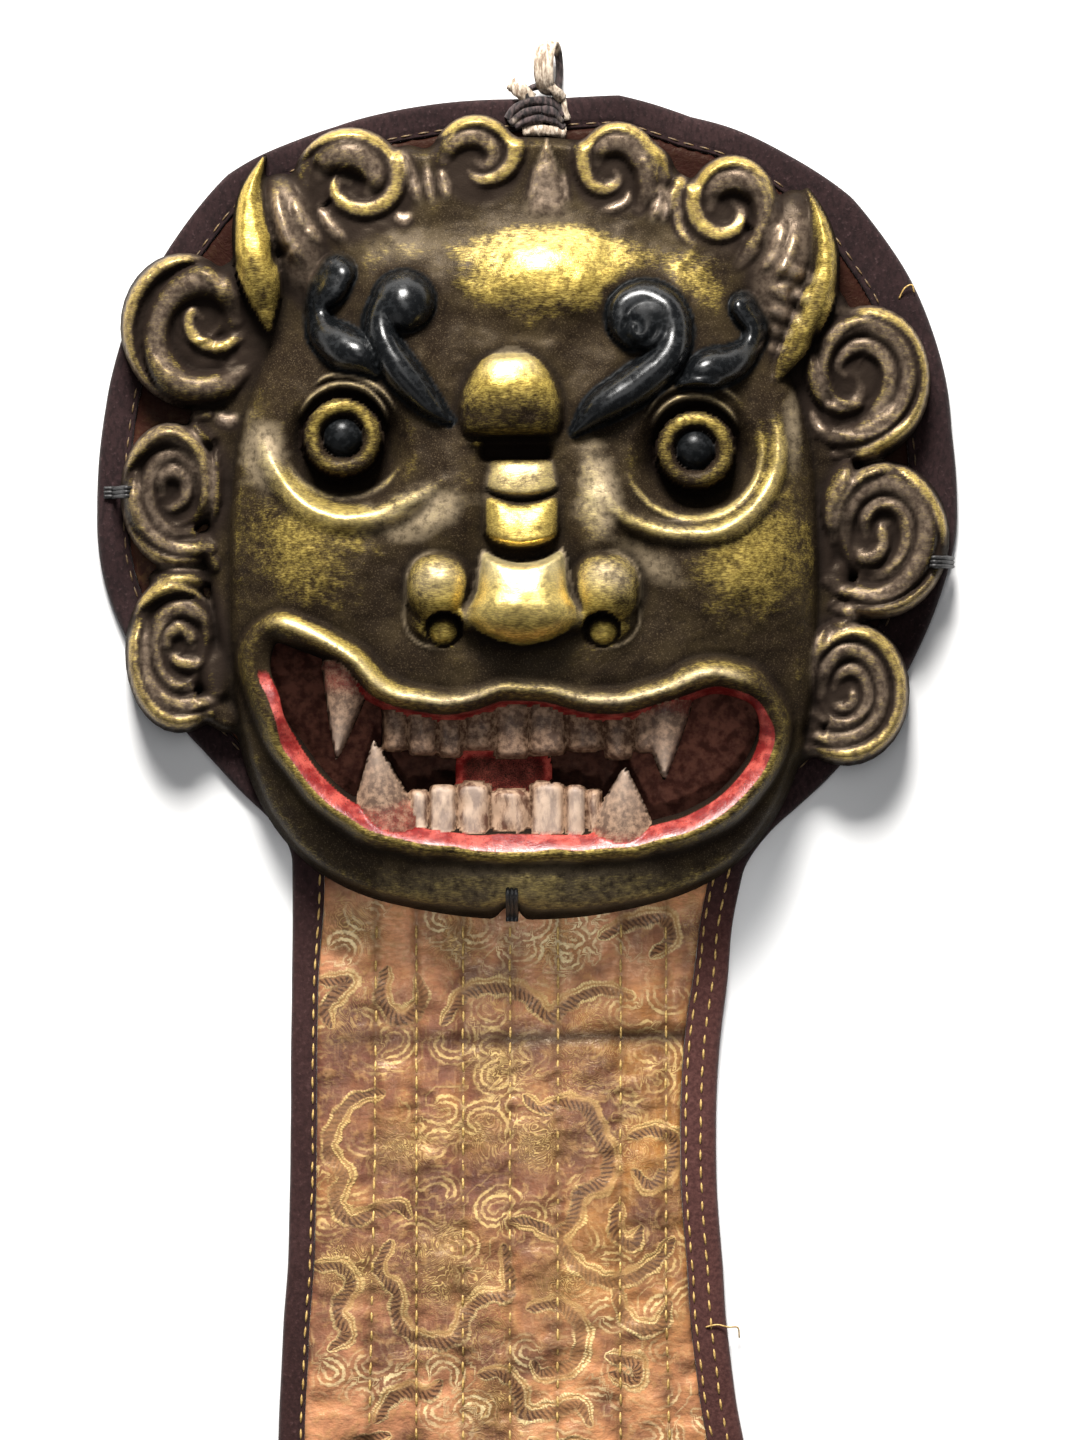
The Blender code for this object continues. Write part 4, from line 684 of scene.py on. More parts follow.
# %% Wings and nostrils
def wing_relief(x, y, z, marks):
    """Adds each wing as three domed ovals with a rim, then a hollow in it and the bead inside."""
    for sign, (centre, radii), bead in zip((-1, 1), NOSE_WINGS, NOSTRIL_BEADS):
        out = sign * (x - centre[0])
        skirt = oval(x, y, (centre[0] + 0.6 * sign, centre[1] - 6.6), (7.9, 7.9))
        z = laid_on(z, skirt < 1, 22.5 + 6.5 * dome(skirt), 1.2)
        neck = oval(x, y, (centre[0] - 8.2 * sign, -26.2), (6.0, 4.0), -12 * sign)
        z = laid_on(z, neck < 1, 25.0 + 7.0 * dome(neck), 3.0)
        r = oval(x, y, centre, radii, power=2.3)
        z = laid_on(z, r < 1, 23.5 + 10.5 * dome(r ** 1.2), 2.0)
        on_wing = 1 - step_up(np.minimum(r, skirt + 0.1), 0.75, 1.0)
        inner = step_up(-out, -6, 4) * step_up(centre[1] - y, -7, 2)
        raise_mark(marks, "gold", on_wing * (0.14 + 0.5 * inner))
        # Painted highlight on the wing's upper part.
        raise_mark(marks, "bright", (1 - step_up(r, 0.4, 0.95)) * 0.45 * step_up(y, -24, -15))
        # The rim: a thin ridge with a painted highlight on it.
        rim = np.exp(-((np.minimum(r * 1.02, skirt) - 1.02) / 0.05) ** 2) * step_up(out, -1, 4)
        z = z + 0.6 * rim
        raise_mark(marks, "bright", 0.45 * rim)
        hole = 1 - step_up(oval(x, y, (bead[0] - 0.3 * sign, bead[1] + 0.4), (5.0, 4.6)), 0.82, 1.0)
        z = z * (1 - hole) + np.minimum(z, NOSTRIL_LEVEL) * hole
        for name in ("gold", "bright"):
            marks[name] = marks[name] * (1 - hole)
        # Painted shade in the nostril's hollow.
        raise_mark(marks, "dark", 0.8 * hole)
        r = oval(x, y, bead, (4.6, 4.3))
        z = np.maximum(z, np.where(r < 1, NOSTRIL_LEVEL + 7.0 * dome(r ** 1.6), NOWHERE))
        set_mark(marks, "gold", r < 1, 0.34 * step_up(bead[1] + 3 - y, -2, 4) + 0.14)
        # Painted shade round the bead's foot.
        set_mark(marks, "dark", r < 1, 0.6 * step_up(r, 0.6, 1.0))
    return z

# %% Brows
def brow_relief(x, y, z, marks):
    """Adds the curled black brows, with a spiral groove in the right one's curl."""
    lift = np.zeros(x.shape)
    for points, half_widths in map(rope, BROWS):
        ratio, beyond, along, half = strand(x, y, curve_through(points), half_widths)
        lift = np.maximum(lift, (0.8 + 1.2 * half) * dome(ratio))
        raise_mark(marks, "black", step_up(-beyond, -1.1, -0.6))
    for centre, radii, flatness, height in BROW_CURLS:
        r = oval(x, y, centre, radii)
        lift = np.maximum(lift, height * dome(r ** flatness))
        raise_mark(marks, "black", 1 - step_up(r, 1.04, 1.12))
    from_groove, along, _ = nearest_on(x, y, curve_through(CURL_GROOVE, 4))
    lift = lift - 0.8 * np.exp(-(from_groove / 0.95) ** 2) * step_up(along, 0, 0.25)
    # Painted shade: the right curl's pad and its groove are darkened and dulled.
    in_curl = 1 - step_up(oval(x, y, BROW_CURLS[1][0], BROW_CURLS[1][1]), 0.55, 0.95)
    raise_mark(marks, "dark", 0.9 * np.maximum(in_curl, np.exp(-(from_groove / 1.5) ** 2)))
    for name in ("gold", "bright"):
        marks[name] = marks[name] * (1 - marks["black"])
    return z + np.maximum(lift, 0)

# %% [markdown]
# ## Mouth
#
# The lips are one thick rolled band. Its inner slope is painted red and falls into the open mouth,
# where two rows of flat teeth, four fangs and the tongue stand. What lies between them is cut
# right through, so the cloth behind shows as it does on the real mask.

# %% Teeth and fangs
LIP_LINE = ((-61, -28.5), (-46, -35), (-36, -44.5), (-22, -48), (-7, -45), (3, -44.5), (20.5, -48),
            (34, -44.5), (47, -41), (59, -45.5), (62, -58), (52, -73.5), (33, -82.5), (8, -85),
            (-22, -84), (-44.5, -77.5), (-59.5, -62.5), (-68, -43), (-67.5, -32))
LIP_FALL, MOUTH_FLOOR = 7, 13.0  # how far the lips drop to the skin, and the mouth's lowest level
LIP_DEPTH = 5.8                  # where the lips' inner slope ends and the opening starts
# Teeth: boundaries from left to right, then the row's tip and gum lines and its level
UPPER_TEETH = ((-36.5, -29.8, -22.6, -16.2, -8.2, 0.2, 9.4, 18.8, 26.4, 32.4), -60.9, -46.0, 20.5)
LOWER_TEETH = ((-29.6, -24.6, -17.8, -9.4, 0.6, 9.2, 14.4, 18.6), -68.2, -83.0, 19.5)
TONGUE_CENTRE, TONGUE_RADII, TONGUE_LEVEL = (-6.0, -65.5), (12.0, 6.5), 15.5
# Fangs: root, point, half width at the root, level, rise
FANGS = (((-44.8, -40.0), (-47.6, -61.4), 6.4, 19.0, 5.5),
         ((34.0, -48.0), (33.9, -66.6), 6.8, 19.0, 5.5),
         ((-35.5, -78.5), (-38.2, -57.4), 9.0, 17.5, 6.5),
         ((23.5, -81.5), (24.2, -63.9), 9.0, 17.5, 6.5))


def tooth_row(x, y, seams, tip, gum, level):
    """Depth inside a row of flat teeth with rounded tips, their height, and how near a seam is."""
    seams = np.asarray(seams)
    k = np.clip(np.searchsorted(seams, x) - 1, 0, len(seams) - 2)
    middle, half = (seams[k] + seams[k + 1]) / 2, (seams[k + 1] - seams[k]) / 2
    across = np.clip(np.abs(x - middle) / half, 0, 1)
    side = np.where(x < seams[0], x - seams[0], np.where(x > seams[-1], seams[-1] - x, half * (1 - across)))
    toward_gum = np.sign(gum - tip)
    uneven = 1.1 * np.sin(2.3 * k + 1.0)
    from_tip = toward_gum * (y - tip) - uneven - 0.7 * across ** 4
    inside = np.minimum(from_tip, toward_gum * (gum - y))
    inside = np.minimum(inside, np.minimum(x - seams[0], seams[-1] - x))
    seam = np.exp(-(side / 0.5) ** 2)
    height = level + 1.3 * (1 - across ** 2) - 1.2 * seam + 0.6 * np.sin(1.7 * k)
    height = height + 0.35 * unevenness(x, y * 0.6, 1.9, 15)
    return inside, height - 2.2 * (1 - np.clip(inside / 1.8, 0, 1)) ** 2, seam


def fang(x, y, root, point, half_width, level, rise):
    """Depth inside a fang, and its height: a half cone that narrows to its point."""
    ax, ay = root
    bx, by = point[0] - ax, point[1] - ay
    length = hypot(bx, by)
    t = ((x - ax) * bx + (y - ay) * by) / length ** 2
    side = np.abs((x - ax) * by - (y - ay) * bx) / length
    half = half_width * (1 - np.clip(t, 0, 1)) ** 0.85 + 0.3
    inside = np.minimum(half - side, np.minimum(1.02 - t, t + 0.1) * length)
    return inside, level + rise * dome(np.clip(side / half, 0, 1)) * (1 - 0.3 * np.clip(t, 0, 1))

# %% Lips, teeth and tongue together
def mouth_relief(x, y, z, marks):
    """Adds the lips, teeth and tongue. Also returns a distance that is positive in the openings."""
    loop = curve_through(LIP_LINE, closed=True)
    distance = nearest_on(x + 0.5 * unevenness(x, y, 6.5, 17), y + 0.5 * unevenness(x, y, 6.5, 19), loop)[0]
    depth = np.where(inside_of(x, y, loop), distance, -distance)
    upper = step_up(y, -60, -50) * (1 - 0.75 * step_up(np.abs(x + 2), 58, 66))
    half = 3.1 + 1.5 * upper
    ridge = 25.0 + 4.5 * upper - 5.5 * step_up(np.abs(x), 40, 72)
    outer = ridge - LIP_FALL * (np.maximum(-depth, 0) / half) ** 2
    outside = laid_on(z, -depth < 1.6 * half, outer, 1.4)
    steepness = 0.42 + 0.65 * upper * (1 - step_up(np.abs(x + 2), 44, 60))
    within = np.maximum(ridge - steepness * np.maximum(depth, 0) ** 1.5, MOUTH_FLOOR)
    for name in ("gold", "bright", "hair", "dark", "black"):
        marks[name] = np.where(depth > -0.5 * half, 0.0, marks[name])
    crest = np.exp(-((depth + 1.4 * upper) / (1.3 + 1.0 * upper)) ** 2)
    toward_left = 1 - step_up(x, -42, -22)
    ends = step_up(np.abs(x + 5), 54, 62) * step_up(y, -64, -50)
    lip_gold = (0.16 + (0.4 * toward_left - 0.04) * upper) * (1 - ends)
    raise_mark(marks, "gold", crest * lip_gold)
    raise_mark(marks, "dark", 0.42 * ends * (1 - step_up(-depth, 1.5, 5.0)))
    highlight = np.exp(-((depth + 0.7) / 1.1) ** 2) * (1 - 0.7 * np.exp(-((x + 2) / 12) ** 2))
    raise_mark(marks, "bright", 0.52 * upper * highlight * (1 - ends))
    corners = step_up(y, -44, -37) * step_up(np.abs(x + 2), 26, 34)
    inner_slope = step_up(depth, 0.3 + 1.9 * upper, 1.3 + 2.0 * upper) * (1 - step_up(depth, 4.0, 5.0))
    marks["red"] = inner_slope * (1 - corners)
    # Painted shade deep in the mouth.
    raise_mark(marks, "dark", 0.75 * step_up(depth, 3.6, 5.2))
    solid = np.full(x.shape, NOWHERE)
    for row in (UPPER_TEETH, LOWER_TEETH):
        inside, height, seam = tooth_row(x, y, *row)
        wins = (inside > 0) & (height > within) & (depth > 0)
        within = np.where(wins, height, within)
        whole = 0.55 if row is UPPER_TEETH else 0.92
        set_mark(marks, "bone", wins, whole * (1 - 0.6 * seam))
        set_mark(marks, "bright", wins, 1.1 * (whole - 0.5) * step_up(height - row[3], 0.4, 1.2))
        gums = 0.0 if row is UPPER_TEETH else 0.52 * (1 - step_up(y, row[2] + 1.5, row[2] + 6))
        set_mark(marks, "red", wins, gums)
        set_mark(marks, "dark", wins, 0.0)
        solid = np.maximum(solid, inside)
    for each in FANGS:
        inside, height = fang(x, y, *each)
        wins = (inside > 0) & (height > within) & (depth > 0)
        within = np.where(wins, height, within)
        to_point = np.clip(1 - np.hypot(x - each[1][0], y - each[1][1]) / 21.0, 0, 1)
        set_mark(marks, "bone", wins, 0.44 + 0.24 * to_point)
        set_mark(marks, "bright", wins, 0.05 + 0.42 * to_point ** 2)
        set_mark(marks, "red", wins, 0.4 * (1 - step_up(to_point, 0.1, 0.5)))
        set_mark(marks, "dark", wins, 0.0)
        solid = np.maximum(solid, inside)
    on_tongue = -ring_distance(x, y, TONGUE_CENTRE, TONGUE_RADII, 4.0)
    tongue_top = TONGUE_LEVEL + 1.4 * dome(oval(x, y, TONGUE_CENTRE, TONGUE_RADII))
    wins = (on_tongue > 0) & (tongue_top > within) & (depth > 0)
    within = np.where(wins, tongue_top, within)
    set_mark(marks, "red", wins, 0.35 + 0.5 * np.exp(-(on_tongue / 1.5) ** 2))
    solid = np.maximum(solid, on_tongue)
    opening = np.minimum(depth - (LIP_DEPTH - 1.4 * upper), -solid)
    return np.where(depth > 0, within, outside), opening

# %% [markdown]
# ## The whole face
#
# One function now gives the height of the face everywhere, how far a point is from the edge and
# from an opening, and the marks that the finish reads later: where gold has stayed, where paint
# is black or red, where the teeth are, where painted shade darkens hollows and where painted
# highlights lighten what faces the light.

# %% The whole face
# Broad places where hands and cloth have kept the brass bright: centre, radii, turn, strength
# The chin's row is strong partly to lighten the chin, which faces away from the light: painted light as well
# as gilding.
RUBBED = (
    "7 62.5 37 18.5 0 0.8, 38 61 27 13 -14 0.42, -36 63 22 11 10 0.28, -57 -8 18 30 10 0.38, "
    "-52 1 23 11 -32 0.74, 55 -9 22 22 20 0.48, -30 -1 13 8 14 0.4, 16.5 3 6 13 4 0.4, "
    "60 8 8 21 -10 0.5, 2 -93 50 8 0 0.28"
)
# Painted highlights: pale patches where slopes face the light, and one that lightens the chin: centre, radii,
# turn, strength
PALE = (
    "18 4 7.4 13 6 0.85, -27 -1 15 8 20 0.85, -66 14 7 12 0 0.75, -34 -2 14 4 12 0.45, "
    "66 20 3 14 0 0.45, -32 68 14 6 0 0.22, 44 70 14 5 -20 0.22, 4 66 26 11 0 0.15, "
    "30 -13 12 5 -30 0.35, 2 -94 52 9 0 0.22"
)
# Of these marks, bright is mostly painted highlight (with rubbed wear on the hair's crests), and dark is
# mostly painted shade in sockets, gaps, holes, grooves and the deep mouth.
MARKS = ("gold", "bright", "hair", "black", "red", "bone", "dark")


def face_relief(x, y):
    """Height above the rim plane, distance inside the outline and the openings, and the marks."""
    marks = {name: np.zeros(x.shape) for name in MARKS}
    edge = -face_outline(x, y)
    hair_marks = {name: np.zeros(x.shape) for name in MARKS}
    hair = hair_relief(x, y, edge, hair_marks)
    skin = skin_relief(x, y)
    for relief in (eye_relief, boss_relief, fold_relief, tip_relief, wing_relief):
        skin = relief(x, y, skin, marks)
    torn = 0.16 * unevenness(x, y, 5.0, 7) + 0.14 * unevenness(x * 0.4, y, 1.8, 9)
    for centre, radii, turn, strength in patches(RUBBED):
        spread = mound(oval(x, y, centre, radii, turn) * (1 + torn)) ** 0.95
        raise_mark(marks, "gold", strength * spread * (1 - marks["dark"]))
    for centre, radii, turn, strength in patches(PALE):
        spread = mound(oval(x, y, centre, radii, turn) * (1 + 1.6 * torn)) ** 0.8
        raise_mark(marks, "bright", strength * (0.85 + torn) * spread)
    skin = brow_relief(x, y, skin, marks)
    z = smooth_max(hair, skin, 2.0 + 6.0 * step_up(y, 45, 70))
    on_hair = step_up(hair - skin, -2.5 * step_up(y, 40, 60) - 1.5, 1.2)
    for name in MARKS:
        marks[name] = marks[name] * (1 - on_hair) + hair_marks[name] * on_hair
    z = comb_strands(x, y, z, marks)
    bare = 1 - 0.7 * marks["black"]
    z = z + bare * (0.34 * unevenness(x, y, 9.0, 3) + 0.22 * unevenness(x, y, 3.4, 5)
                    + 0.1 * unevenness(x * 0.6, y, 1.7, 11))
    z, opening = mouth_relief(x, y, z, marks)
    roll = dome(1 - np.clip(edge / EDGE_ROLL, 0, 1))
    return RIM + (z - RIM) * roll, edge, opening, marks

# %% [markdown]
# ## From heights to a closed shell
#
# A square grid of triangles would leave a stepped edge. So the ends of grid lines that cross the
# outline are moved onto it first. The back is the front lowered by a flattened ball that rolls
# along under it, so the wall keeps its thickness on slopes. It needs little detail, so away from
# its edges it is made of large blocks that share their corners with the fine cells next to them.

# %% Grid and shell helpers
def boundary_edges(triangles):
    """Edges with a triangle on one side only, each in its triangle's direction."""
    edges = np.vstack((triangles[:, [0, 1]], triangles[:, [1, 2]], triangles[:, [2, 0]]))
    once = np.unique(np.sort(edges, axis=1), axis=0, return_inverse=True, return_counts=True)
    return edges[once[2][once[1].ravel()] == 1]


def without_pinches(triangles):
    """Drops the triangles round each point where two stretches of edge touch."""
    while True:
        points, uses = np.unique(boundary_edges(triangles), return_counts=True)
        pinched = points[uses > 2]
        if not len(pinched):
            return triangles
        triangles = triangles[~np.isin(triangles, pinched).any(axis=1)]


def fitted_grid(xs, ys, distance):
    """A triangle grid of the area where `distance` is positive, its edge points moved onto the edge.

    Of the two ends of each grid line that crosses the edge, the nearer one is moved along the
    slope of `distance`. Returns the moved x and y, and the triangles as grid indices."""
    x, y = np.meshgrid(xs, ys)
    slope_y, slope_x = np.gradient(distance, ys, xs)
    steep = np.maximum(slope_x ** 2 + slope_y ** 2, 0.25)
    on_edge = np.zeros(distance.shape, bool)
    size = np.abs(distance)
    for a, b in (((slice(None), slice(0, -1)), (slice(None), slice(1, None))),
                 ((slice(0, -1), slice(None)), (slice(1, None), slice(None))),
                 ((slice(0, -1), slice(0, -1)), (slice(1, None), slice(1, None)))):
        crossing = (distance[a] > 0) != (distance[b] > 0)
        on_edge[a] |= crossing & (size[a] <= size[b])
        on_edge[b] |= crossing & (size[b] < size[a])
    shift = np.where(on_edge, -distance / steep, 0.0)
    limit = 0.45 * (xs[1] - xs[0])
    x = x + np.clip(shift * slope_x, -limit, limit)
    y = y + np.clip(shift * slope_y, -limit, limit)
    index = np.arange(x.size).reshape(x.shape)
    low_left, low_right = index[:-1, :-1].ravel(), index[:-1, 1:].ravel()
    top_left, top_right = index[1:, :-1].ravel(), index[1:, 1:].ravel()
    triangles = np.vstack((np.stack((low_left, low_right, top_right), 1),
                           np.stack((low_left, top_right, top_left), 1)))
    state = np.where(on_edge, 0, np.where(distance > 0, 1, -1)).ravel()[triangles]
    middle = distance.ravel()[triangles].mean(axis=1)
    keep = (state.min(axis=1) >= 0) & ((state.max(axis=1) == 1) | (middle > 0))
    return x, y, without_pinches(triangles[keep])

# %% Closed shells
def hollowed(front, keep, pitch):
    """The back of a shell: the front lowered by a flattened ball, WALL high and WALL_SPREAD wide."""
    source = np.where(keep, front, np.inf)
    reach = int(WALL_SPREAD / pitch)
    padded = np.pad(source, reach, constant_values=np.inf)
    rows, columns = front.shape
    back = np.full(front.shape, np.inf)
    for i in range(-reach, reach + 1):
        for j in range(-reach, reach + 1):
            away = pitch * hypot(i, j) / WALL_SPREAD
            if away < 1:
                shifted = padded[reach + i:reach + i + rows, reach + j:reach + j + columns]
                back = np.minimum(back, shifted - WALL * (1 - away ** 2) ** 0.5)
    return np.maximum(back, 0.0)


def coarse_blocks(triangles, shape, block):
    """Covers whole blocks of `block` x `block` cells with one polygon each.

    Returns the triangles outside those blocks, and the polygons: the block's corners, and the
    points along each side whose neighbour is still fine."""
    rows, columns = shape
    cell = triangles.min(axis=1)
    full = np.zeros(rows * columns, int)
    np.add.at(full, cell, 1)
    full = full.reshape(shape) == 2
    by, bx = (rows - 1) // block, (columns - 1) // block
    whole = full[:by * block, :bx * block].reshape(by, block, bx, block).all(axis=(1, 3))
    inside = np.zeros(shape, bool)
    inside[:by * block, :bx * block] = np.repeat(np.repeat(whole, block, 0), block, 1)
    fine = triangles[~inside.ravel()[cell]]
    around = np.pad(whole, 1)
    j, i = np.nonzero(whole)
    corner = (j * block) * columns + i * block
    steps = np.arange(block)
    sides = ((~around[j, i + 1], steps), (~around[j + 1, i + 2], block + steps * columns),
             (~around[j + 2, i + 1], block * columns + block - steps),
             (~around[j + 1, i], (block - steps) * columns))
    polygons = []
    for pattern in range(16):
        chosen = np.ones(len(corner), bool)
        offsets = []
        for k, (is_fine, along) in enumerate(sides):
            wanted = bool(pattern >> k & 1)
            chosen &= is_fine == wanted
            offsets.append(along if wanted else along[:1])
        polygons += (corner[chosen][:, None] + np.concatenate(offsets)[None, :]).tolist()
    return fine, polygons

# %% Meshes and pieces
def mesh_from(name, points, faces):
    """A smooth mesh from an array of points in millimetres and a list of faces."""
    mesh = bpy.data.meshes.new(name)
    mesh.from_pydata((np.asarray(points) * MM).tolist(), [], faces)
    mesh.shade_smooth()
    return mesh


def add_piece(name, mesh, material, replaced=()):
    """Puts a finished mesh into the scene as a piece that rides on the part's one body."""
    mesh.materials.append(material)
    piece = put_in_scene(name, mesh)
    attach(piece, "root")
    if replaced:
        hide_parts(*replaced)
    print(f"{name}: {len(mesh.polygons)} faces")
    return piece


def store(mesh, name, values):
    """Keeps one number per point in the mesh, for a material to read."""
    mesh.attributes.new(name, "FLOAT", "POINT").data.foreach_set("value", np.asarray(values, np.float32))


def shell_faces(triangles, shape, block):
    """Faces of a closed shell as grid indices: fine front, blocked back (offset by the grid's size)
    and walls along every edge."""
    fine, polygons = coarse_blocks(triangles, shape, block)
    offset = shape[0] * shape[1]
    a, b = boundary_edges(triangles).T
    walls = np.stack((b, a, a + offset, b + offset), 1)
    faces = triangles.tolist() + (fine[:, ::-1] + offset).tolist()
    faces += [[point + offset for point in reversed(polygon)] for polygon in polygons]
    return faces + walls.tolist()


def compact(faces):
    """Renumbers the faces to the points they use. Returns the faces and the used points."""
    flat = np.concatenate([np.asarray(f) for f in faces])
    used, renumbered = np.unique(flat, return_inverse=True)
    ends = np.cumsum([len(f) for f in faces])
    return [part.tolist() for part in np.split(renumbered, ends[:-1])], used


def shell_mesh(name, x, y, triangles, front, back, block):
    """A closed shell between two heights over one grid. Returns its mesh, and its used points."""
    points = np.vstack([np.stack((x, y, level), -1).reshape(-1, 3) for level in (front, back)])
    faces, used = compact(shell_faces(triangles, x.shape, block))
    return mesh_from(name, points[used], faces), used


def ring_quads(rings, sides, closed):
    """Quads between each ring of points and the next, round to the first one if `closed`."""
    a, k = np.meshgrid(np.arange(rings if closed else rings - 1), np.arange(sides), indexing="ij")
    after, beside = (a + 1) % rings, (k + 1) % sides
    corners = (a * sides + k, a * sides + beside, after * sides + beside, after * sides + k)
    return np.stack(corners, -1).reshape(-1, 4)

# %% [markdown]
# ## Finishes as small programs
#
# Each finish is a node tree. This helper adds one node at a time and hands back its output, so a
# material reads like a recipe: a noise, a ramp over it, a mix of two colours, a bump. Amounts can
# be added, subtracted and multiplied like plain numbers, and each such sign adds a math node.

# %% Material helper
class Amount:
    """A number that varies over the surface: an output of a node in a finish."""

    def __init__(self, finish, socket):
        """Keeps the finish that it belongs to, and the node's output."""
        self.finish, self.socket = finish, socket

    def __add__(self, other):
        """Their sum."""
        return self.finish.math("ADD", self, other)

    def __sub__(self, other):
        """This amount less the other."""
        return self.finish.math("SUBTRACT", self, other)

    def __rsub__(self, other):
        """The other less this amount."""
        return self.finish.math("SUBTRACT", other, self)

    def __mul__(self, other):
        """Their product."""
        return self.finish.math("MULTIPLY", self, other)

    def __abs__(self):
        """Its size, whatever its sign."""
        return self.finish.math("ABSOLUTE", self)


class Finish:
    """A procedural material under construction, on object coordinates and stored marks."""

    def __init__(self, name):
        """Starts a material with its shader, on places in the object's own metres."""
        self.material = bpy.data.materials.new(name)
        self.material.use_nodes = True
        self.tree = self.material.node_tree
        self.shader = self.tree.nodes["Principled BSDF"]
        self.place = self.tree.nodes.new("ShaderNodeTexCoord").outputs["Object"]

    def plug(self, value, socket):
        """Links an output into a socket, or sets the socket to a number or colour."""
        value = value.socket if isinstance(value, Amount) else value
        if isinstance(value, bpy.types.NodeSocket):
            self.tree.links.new(value, socket)
        else:
            socket.default_value = value

    def mark(self, name):
        """The amount that the mesh keeps for each point under this name."""
        node = self.tree.nodes.new("ShaderNodeAttribute")
        node.attribute_name = name
        return Amount(self, node.outputs["Fac"])

    def stretched(self, scale, turn=0.0):
        """Places turned about Z and scaled: a scale under 1 draws a pattern out that way."""
        node = self.tree.nodes.new("ShaderNodeMapping")
        self.plug(self.place, node.inputs["Vector"])
        node.inputs["Scale"].default_value = scale
        node.inputs["Rotation"].default_value = (0, 0, turn)
        return node.outputs["Vector"]

    def noise(self, per_metre, detail=3.0, roughness=0.55, source=None, distortion=0.0):
        """Cloudy noise around 0.5, with so many grains to a metre."""
        node = self.tree.nodes.new("ShaderNodeTexNoise")
        self.plug(source or self.place, node.inputs["Vector"])
        for name, value in (("Scale", per_metre), ("Detail", detail), ("Roughness", roughness),
                            ("Distortion", distortion)):
            node.inputs[name].default_value = value
        return Amount(self, node.outputs["Fac"])

    def math(self, operation, a, b=0.0, clamp=False):
        """One sum over one or two amounts, held between 0 and 1 if `clamp`."""
        node = self.tree.nodes.new("ShaderNodeMath")
        node.operation = operation
        node.use_clamp = clamp
        for value, socket in zip((a, b), node.inputs):
            self.plug(value, socket)
        return Amount(self, node.outputs[0])

    def larger(self, a, b):
        """The larger of two amounts."""
        return self.math("MAXIMUM", a, b)

    def sine(self, angle):
        """The sine of an angle in radians."""
        return self.math("SINE", angle)

    def ramp(self, value, low, high, start=0.0, end=1.0):
        """Maps `low`..`high` onto `start`..`end` along an S curve."""
        node = self.tree.nodes.new("ShaderNodeMapRange")
        node.interpolation_type = "SMOOTHSTEP"
        for value_in, socket in zip((value, low, high, start, end), node.inputs):
            self.plug(value_in, socket)
        return Amount(self, node.outputs["Result"])

    def mix(self, share, first, second):
        """A colour that goes from the first to the second as `share` goes from 0 to 1."""
        node = self.tree.nodes.new("ShaderNodeMix")
        node.data_type = "RGBA"
        self.plug(share, node.inputs["Factor"])
        colour_a = [s for s in node.inputs if s.name == "A" and s.type == "RGBA"][0]
        colour_b = [s for s in node.inputs if s.name == "B" and s.type == "RGBA"][0]
        for value, socket in ((first, colour_a), (second, colour_b)):
            self.plug((*value, 1.0) if isinstance(value, tuple) else value, socket)
        return [s for s in node.outputs if s.type == "RGBA"][0]

    def bump(self, height, distance, strength=1.0, under=None):
        """Fine relief `distance` metres high where `height` is 1, over the relief `under` it."""
        node = self.tree.nodes.new("ShaderNodeBump")
        self.plug(strength, node.inputs["Strength"])
        node.inputs["Distance"].default_value = distance
        self.plug(height, node.inputs["Height"])
        if under is not None:
            self.plug(under, node.inputs["Normal"])
        return node.outputs["Normal"]

    def finish(self, **sockets):
        """Plugs the results into the shader, by socket name with underscores for spaces."""
        for name, value in sockets.items():
            socket = self.shader.inputs[name.replace("_", " ")]
            self.plug((*value, 1.0) if isinstance(value, tuple) and socket.type == "RGBA" else value, socket)
        return self.material
